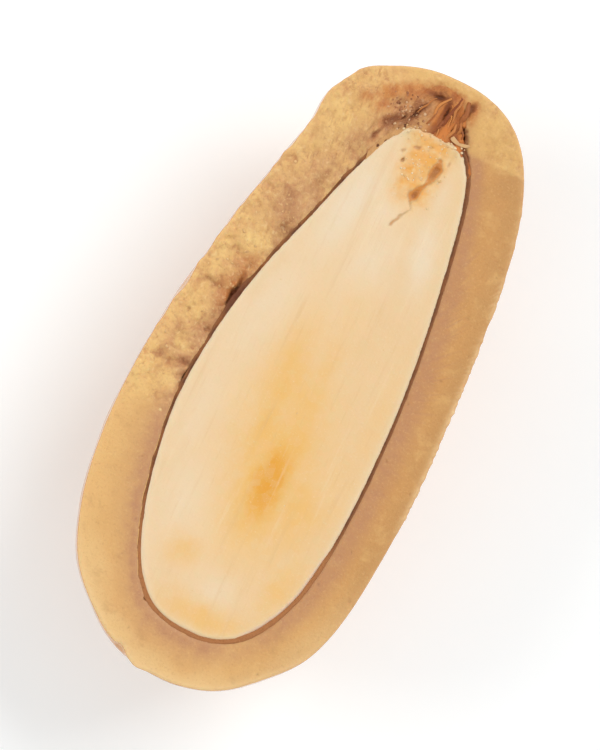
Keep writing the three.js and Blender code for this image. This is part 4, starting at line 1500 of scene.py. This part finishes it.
def torn_skin():
    m = Nodes("torn_nut_skin")
    fibre, right, dark, fine_m = m.mask("fibre"), m.mask("toright"), m.mask("dark"), m.mask("fine")
    patch = m.noise(0.55, 4, 0.6, seed=68, warp=0.4)
    orange = m.mix(m.span(fibre, 0.25, 0.8), srgb(154, 76, 26), srgb(214, 124, 50))
    orange = m.mix(m.math("MULTIPLY", fine_m, 0.30), orange, srgb(222, 148, 74))
    orange = m.mix(m.span(patch, 0.52, 0.70, 0, 0.60), orange, srgb(220, 128, 50))
    orange = m.mix(m.span(patch, 0.30, 0.46, 0.65, 0), orange, srgb(140, 70, 26))
    colour = m.mix(right, srgb(216, 162, 102), orange)
    colour = tip_paint(m, colour)
    n = m.noise(0.12, 4, 0.65, seed=66)
    colour = m.mix(m.span(n, 0.55, 0.78, 0, 0.24), colour, srgb(226, 164, 98))
    colour = m.mix(m.span(n, 0.22, 0.42, 0.35, 0), colour, srgb(118, 62, 30))
    colour = m.mix(m.math("MULTIPLY", dark, 0.74), colour, srgb(94, 45, 19))
    normal = m.bump(m.math("ADD", n, m.noise(0.04, 2, 0.5, seed=67)), 0.03, 1.0)
    rough = m.span(n, 0.3, 0.7, 0.42, 0.66)
    return m.finish(colour, rough, normal, IOR=1.47)


def bits(name, dark_c, light_c, seed, roughness=0.5, mid_c=None):
    m = Nodes(name)
    tone = m.mask("tone")
    n = m.noise(0.09, 3, 0.6, seed=seed)
    if mid_c is None:
        colour = m.mix(m.span(tone, 0.0, 1.0, smooth=False), dark_c, light_c)
    else:
        colour = m.mix(m.span(tone, 0.0, 0.5, smooth=False), dark_c, mid_c)
        colour = m.mix(m.span(tone, 0.55, 0.9, smooth=False), colour, light_c)
    colour = m.mix(m.span(n, 0.5, 0.8, 0, 0.35), colour, light_c)
    colour = m.mix(m.span(n, 0.2, 0.4, 0.35, 0), colour, dark_c)
    normal = m.bump(n, 0.02, 1.0)
    rough = m.span(n, 0.3, 0.7, roughness - 0.12, roughness + 0.1)
    return m.finish(colour, rough, normal, IOR=1.47)


# ------------------------------------------------------------------- assembly


def add_side_masks(o):
    """Masks of the coating that depend only on where a vertex is."""
    me = o.data
    co = np.zeros(len(me.vertices) * 3, np.float32)
    me.vertices.foreach_get("co", co)
    co = co.reshape(-1, 3) / MM
    v, u = co[:, 0] - MOVE, co[:, 1]
    # side marks the right-hand band, which the cut face paints darker as painted shade; top marks the top right,
    # painted lighter as painted light where the face stands lit above the shaded band, and also paler places at the
    # tip and the upper left.
    side = step(v + 0.05 * u, -0.2, 2.6)
    low = step(-u, 6.0 + 2.0 * (1 - side), 10.5 + 2.0 * (1 - side)) * (1 - 0.40 * side)
    wob = 0.10 * fbm(points3(v / 0.8, u / 0.8), 131, 3)
    top = 0.68 * step(u + wob, 11.58, 11.82) * step(v, 1.0, 2.0)
    top = np.maximum(top, 0.75 * step(u, 13.4, 14.1))
    top = np.maximum(top, 0.30 * step(u, 9.5, 12.5) * step(-v, 2.5, 4.0))
    for key, values in (("side", side), ("top", np.clip(top, 0, 1)), ("lowend", low)):
        a = me.attributes.new(key, "FLOAT", "POINT")
        a.data.foreach_set("value", values.astype(np.float32))


coat = build_coat(coat_gloss(), coat_cut())
add_side_masks(coat)
kernel = build_kernel(kernel_flesh())
skin = build_skin(skin_brown())
tear = build_tear(torn_skin())
coat_bits = build_coat_crumbs(bits("coating_bits", srgb(206, 154, 98), srgb(240, 202, 142), 81))
fibres = build_tip_fibres(bits("skin_fibres", srgb(140, 68, 24), srgb(220, 142, 70), 83))
flakes = build_tip_flakes(bits("skin_flakes", srgb(220, 174, 120), srgb(240, 206, 156), 85))
tip_bits = build_tip_crumbs(bits("tip_bits", srgb(136, 80, 44), srgb(226, 186, 142), 87, 0.46, srgb(180, 118, 74)))
kernel_bits = build_kernel_crumbs(bits("kernel_bits", srgb(232, 190, 128), srgb(248, 224, 182), 89))

for piece, slot in ((coat, "coating"), (coat_bits, "coating"), (kernel, "kernel"), (kernel_bits, "kernel"),
                    (skin, "skin"), (tear, "skin"), (fibres, "skin"), (flakes, "skin"), (tip_bits, "skin")):
    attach(piece, "root")
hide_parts("coating")
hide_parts("almond_kernel")
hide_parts("almond_skin")

# ---------------------------------------------------------------------- stage


def build_floor():
    n = 48
    s = np.linspace(-1, 1, n + 1)
    gx, gy = np.meshgrid(s, s)
    gx, gy = np.sign(gx) * np.abs(gx) ** 3 * 3000, np.sign(gy) * np.abs(gy) ** 3 * 3000
    verts = np.stack([gx.ravel(), gy.ravel(), np.zeros(gx.size)], -1)
    base = (np.arange(n)[:, None] * (n + 1) + np.arange(n)[None, :]).ravel()
    faces = np.stack([base, base + 1, base + n + 2, base + n + 1], -1).tolist()
    m = Nodes("floor")
    paper = m.noise(0.8, 4, 0.6, seed=95)
    colour = m.mix(paper, (0.802, 0.835, 0.848, 1), (0.822, 0.855, 0.868, 1))
    m.shader.inputs["Emission Color"].default_value = (1, 1, 1, 1)
    m.shader.inputs["Emission Strength"].default_value = 0.25
    return make_mesh("floor", verts, faces, None, (m.finish(colour, 0.6, None, IOR=1.4),))


floor = build_floor()

# The room: pale at the horizon, dim above it and brighter overhead, so that lamps and table show in the gloss.
world = bpy.data.worlds.new("studio")
bpy.context.scene.world = world
world.use_nodes = True
wt = world.node_tree
background = wt.nodes["Background"]
where = wt.nodes.new("ShaderNodeTexCoord")
split = wt.nodes.new("ShaderNodeSeparateXYZ")
ramp = wt.nodes.new("ShaderNodeMapRange")
ramp.interpolation_type = "SMOOTHSTEP"
wt.links.new(where.outputs["Generated"], split.inputs[0])
wt.links.new(split.outputs["Z"], ramp.inputs["Value"])
for key, value in (("From Min", 0.08), ("From Max", 0.50), ("To Min", 0.24), ("To Max", 0.51)):
    ramp.inputs[key].default_value = value
haze = wt.nodes.new("ShaderNodeMapRange")
haze.interpolation_type = "SMOOTHSTEP"
wt.links.new(split.outputs["Z"], haze.inputs["Value"])
for key, value in (("From Min", 0.035), ("From Max", 0.090), ("To Min", 0.80), ("To Max", 0.0)):
    haze.inputs[key].default_value = value
both = wt.nodes.new("ShaderNodeMath")
both.operation = "ADD"
wt.links.new(ramp.outputs["Result"], both.inputs[0])
wt.links.new(haze.outputs["Result"], both.inputs[1])
background.inputs["Color"].default_value = (1.0, 1.0, 1.0, 1)
wt.links.new(both.outputs[0], background.inputs["Strength"])


def softbox(name, azimuth, elevation, width, height, light, colour=(1, 1, 1), distance=6.0):
    """A soft lamp, by what it gives a surface that faces it, in watts a square metre."""
    data = bpy.data.lights.new(name, "AREA")
    data.shape = "RECTANGLE"
    data.size, data.size_y = width, height
    data.energy = light * math.pi * distance ** 2
    data.color = colour
    o = bpy.data.objects.new(name, data)
    a, e = math.radians(azimuth), math.radians(elevation)
    back = Vector((math.sin(a) * math.cos(e), -math.cos(a) * math.cos(e), math.sin(e)))
    o.location = back * distance
    o.rotation_mode = "QUATERNION"
    o.rotation_quaternion = (-back).to_track_quat("-Z", "Y")
    bpy.context.scene.collection.objects.link(o)
    return o


softbox("key", 150, 48, 3.4, 2.6, 1.46, (1.0, 0.995, 0.985))
softbox("fill", 285, 36, 2.6, 2.2, 0.80, (1.0, 0.985, 0.945))
softbox("low_right", 78, 12, 2.2, 1.3, 0.46)
softbox("low_left", 246, 12, 1.8, 1.1, 0.32)
softbox("low_end", 352, 12, 1.6, 1.1, 0.27)

# --------------------------------------------------------------------- camera

VIEW_FROM = -34.0        # the side of the blunt end that the view comes from
ELEVATION = 85.0
TURN = 25.1              # the long axis leans this far clockwise from upright
DISTANCE = 0.45
FRAME_HEIGHT = 0.0322    # what the picture's height spans at the cut face

cam_data = bpy.data.cameras.new("camera")
cam = bpy.data.objects.new("camera", cam_data)
bpy.context.scene.collection.objects.link(cam)
a, e = math.radians(VIEW_FROM), math.radians(ELEVATION)
back = Vector((math.sin(a) * math.cos(e), -math.cos(a) * math.cos(e), math.sin(e)))
up_hint = Vector((-math.sin(math.radians(TURN)), math.cos(math.radians(TURN)), 0))
right = up_hint.cross(back).normalized()
up = back.cross(right).normalized()
target = Vector((0.0, 0.0, HEIGHT * MM * 0.95))
rot = Matrix((right, up, back)).transposed()
cam.matrix_world = Matrix.Translation(target + back * DISTANCE) @ rot.to_4x4()
cam_data.sensor_width = 36.0
cam_data.lens = 36.0 * DISTANCE / FRAME_HEIGHT
cam_data.clip_start, cam_data.clip_end = 0.01, 20.0
bpy.context.scene.camera = cam
bpy.context.scene.view_settings.view_transform = "Standard"
bpy.context.scene.view_settings.look = "None"
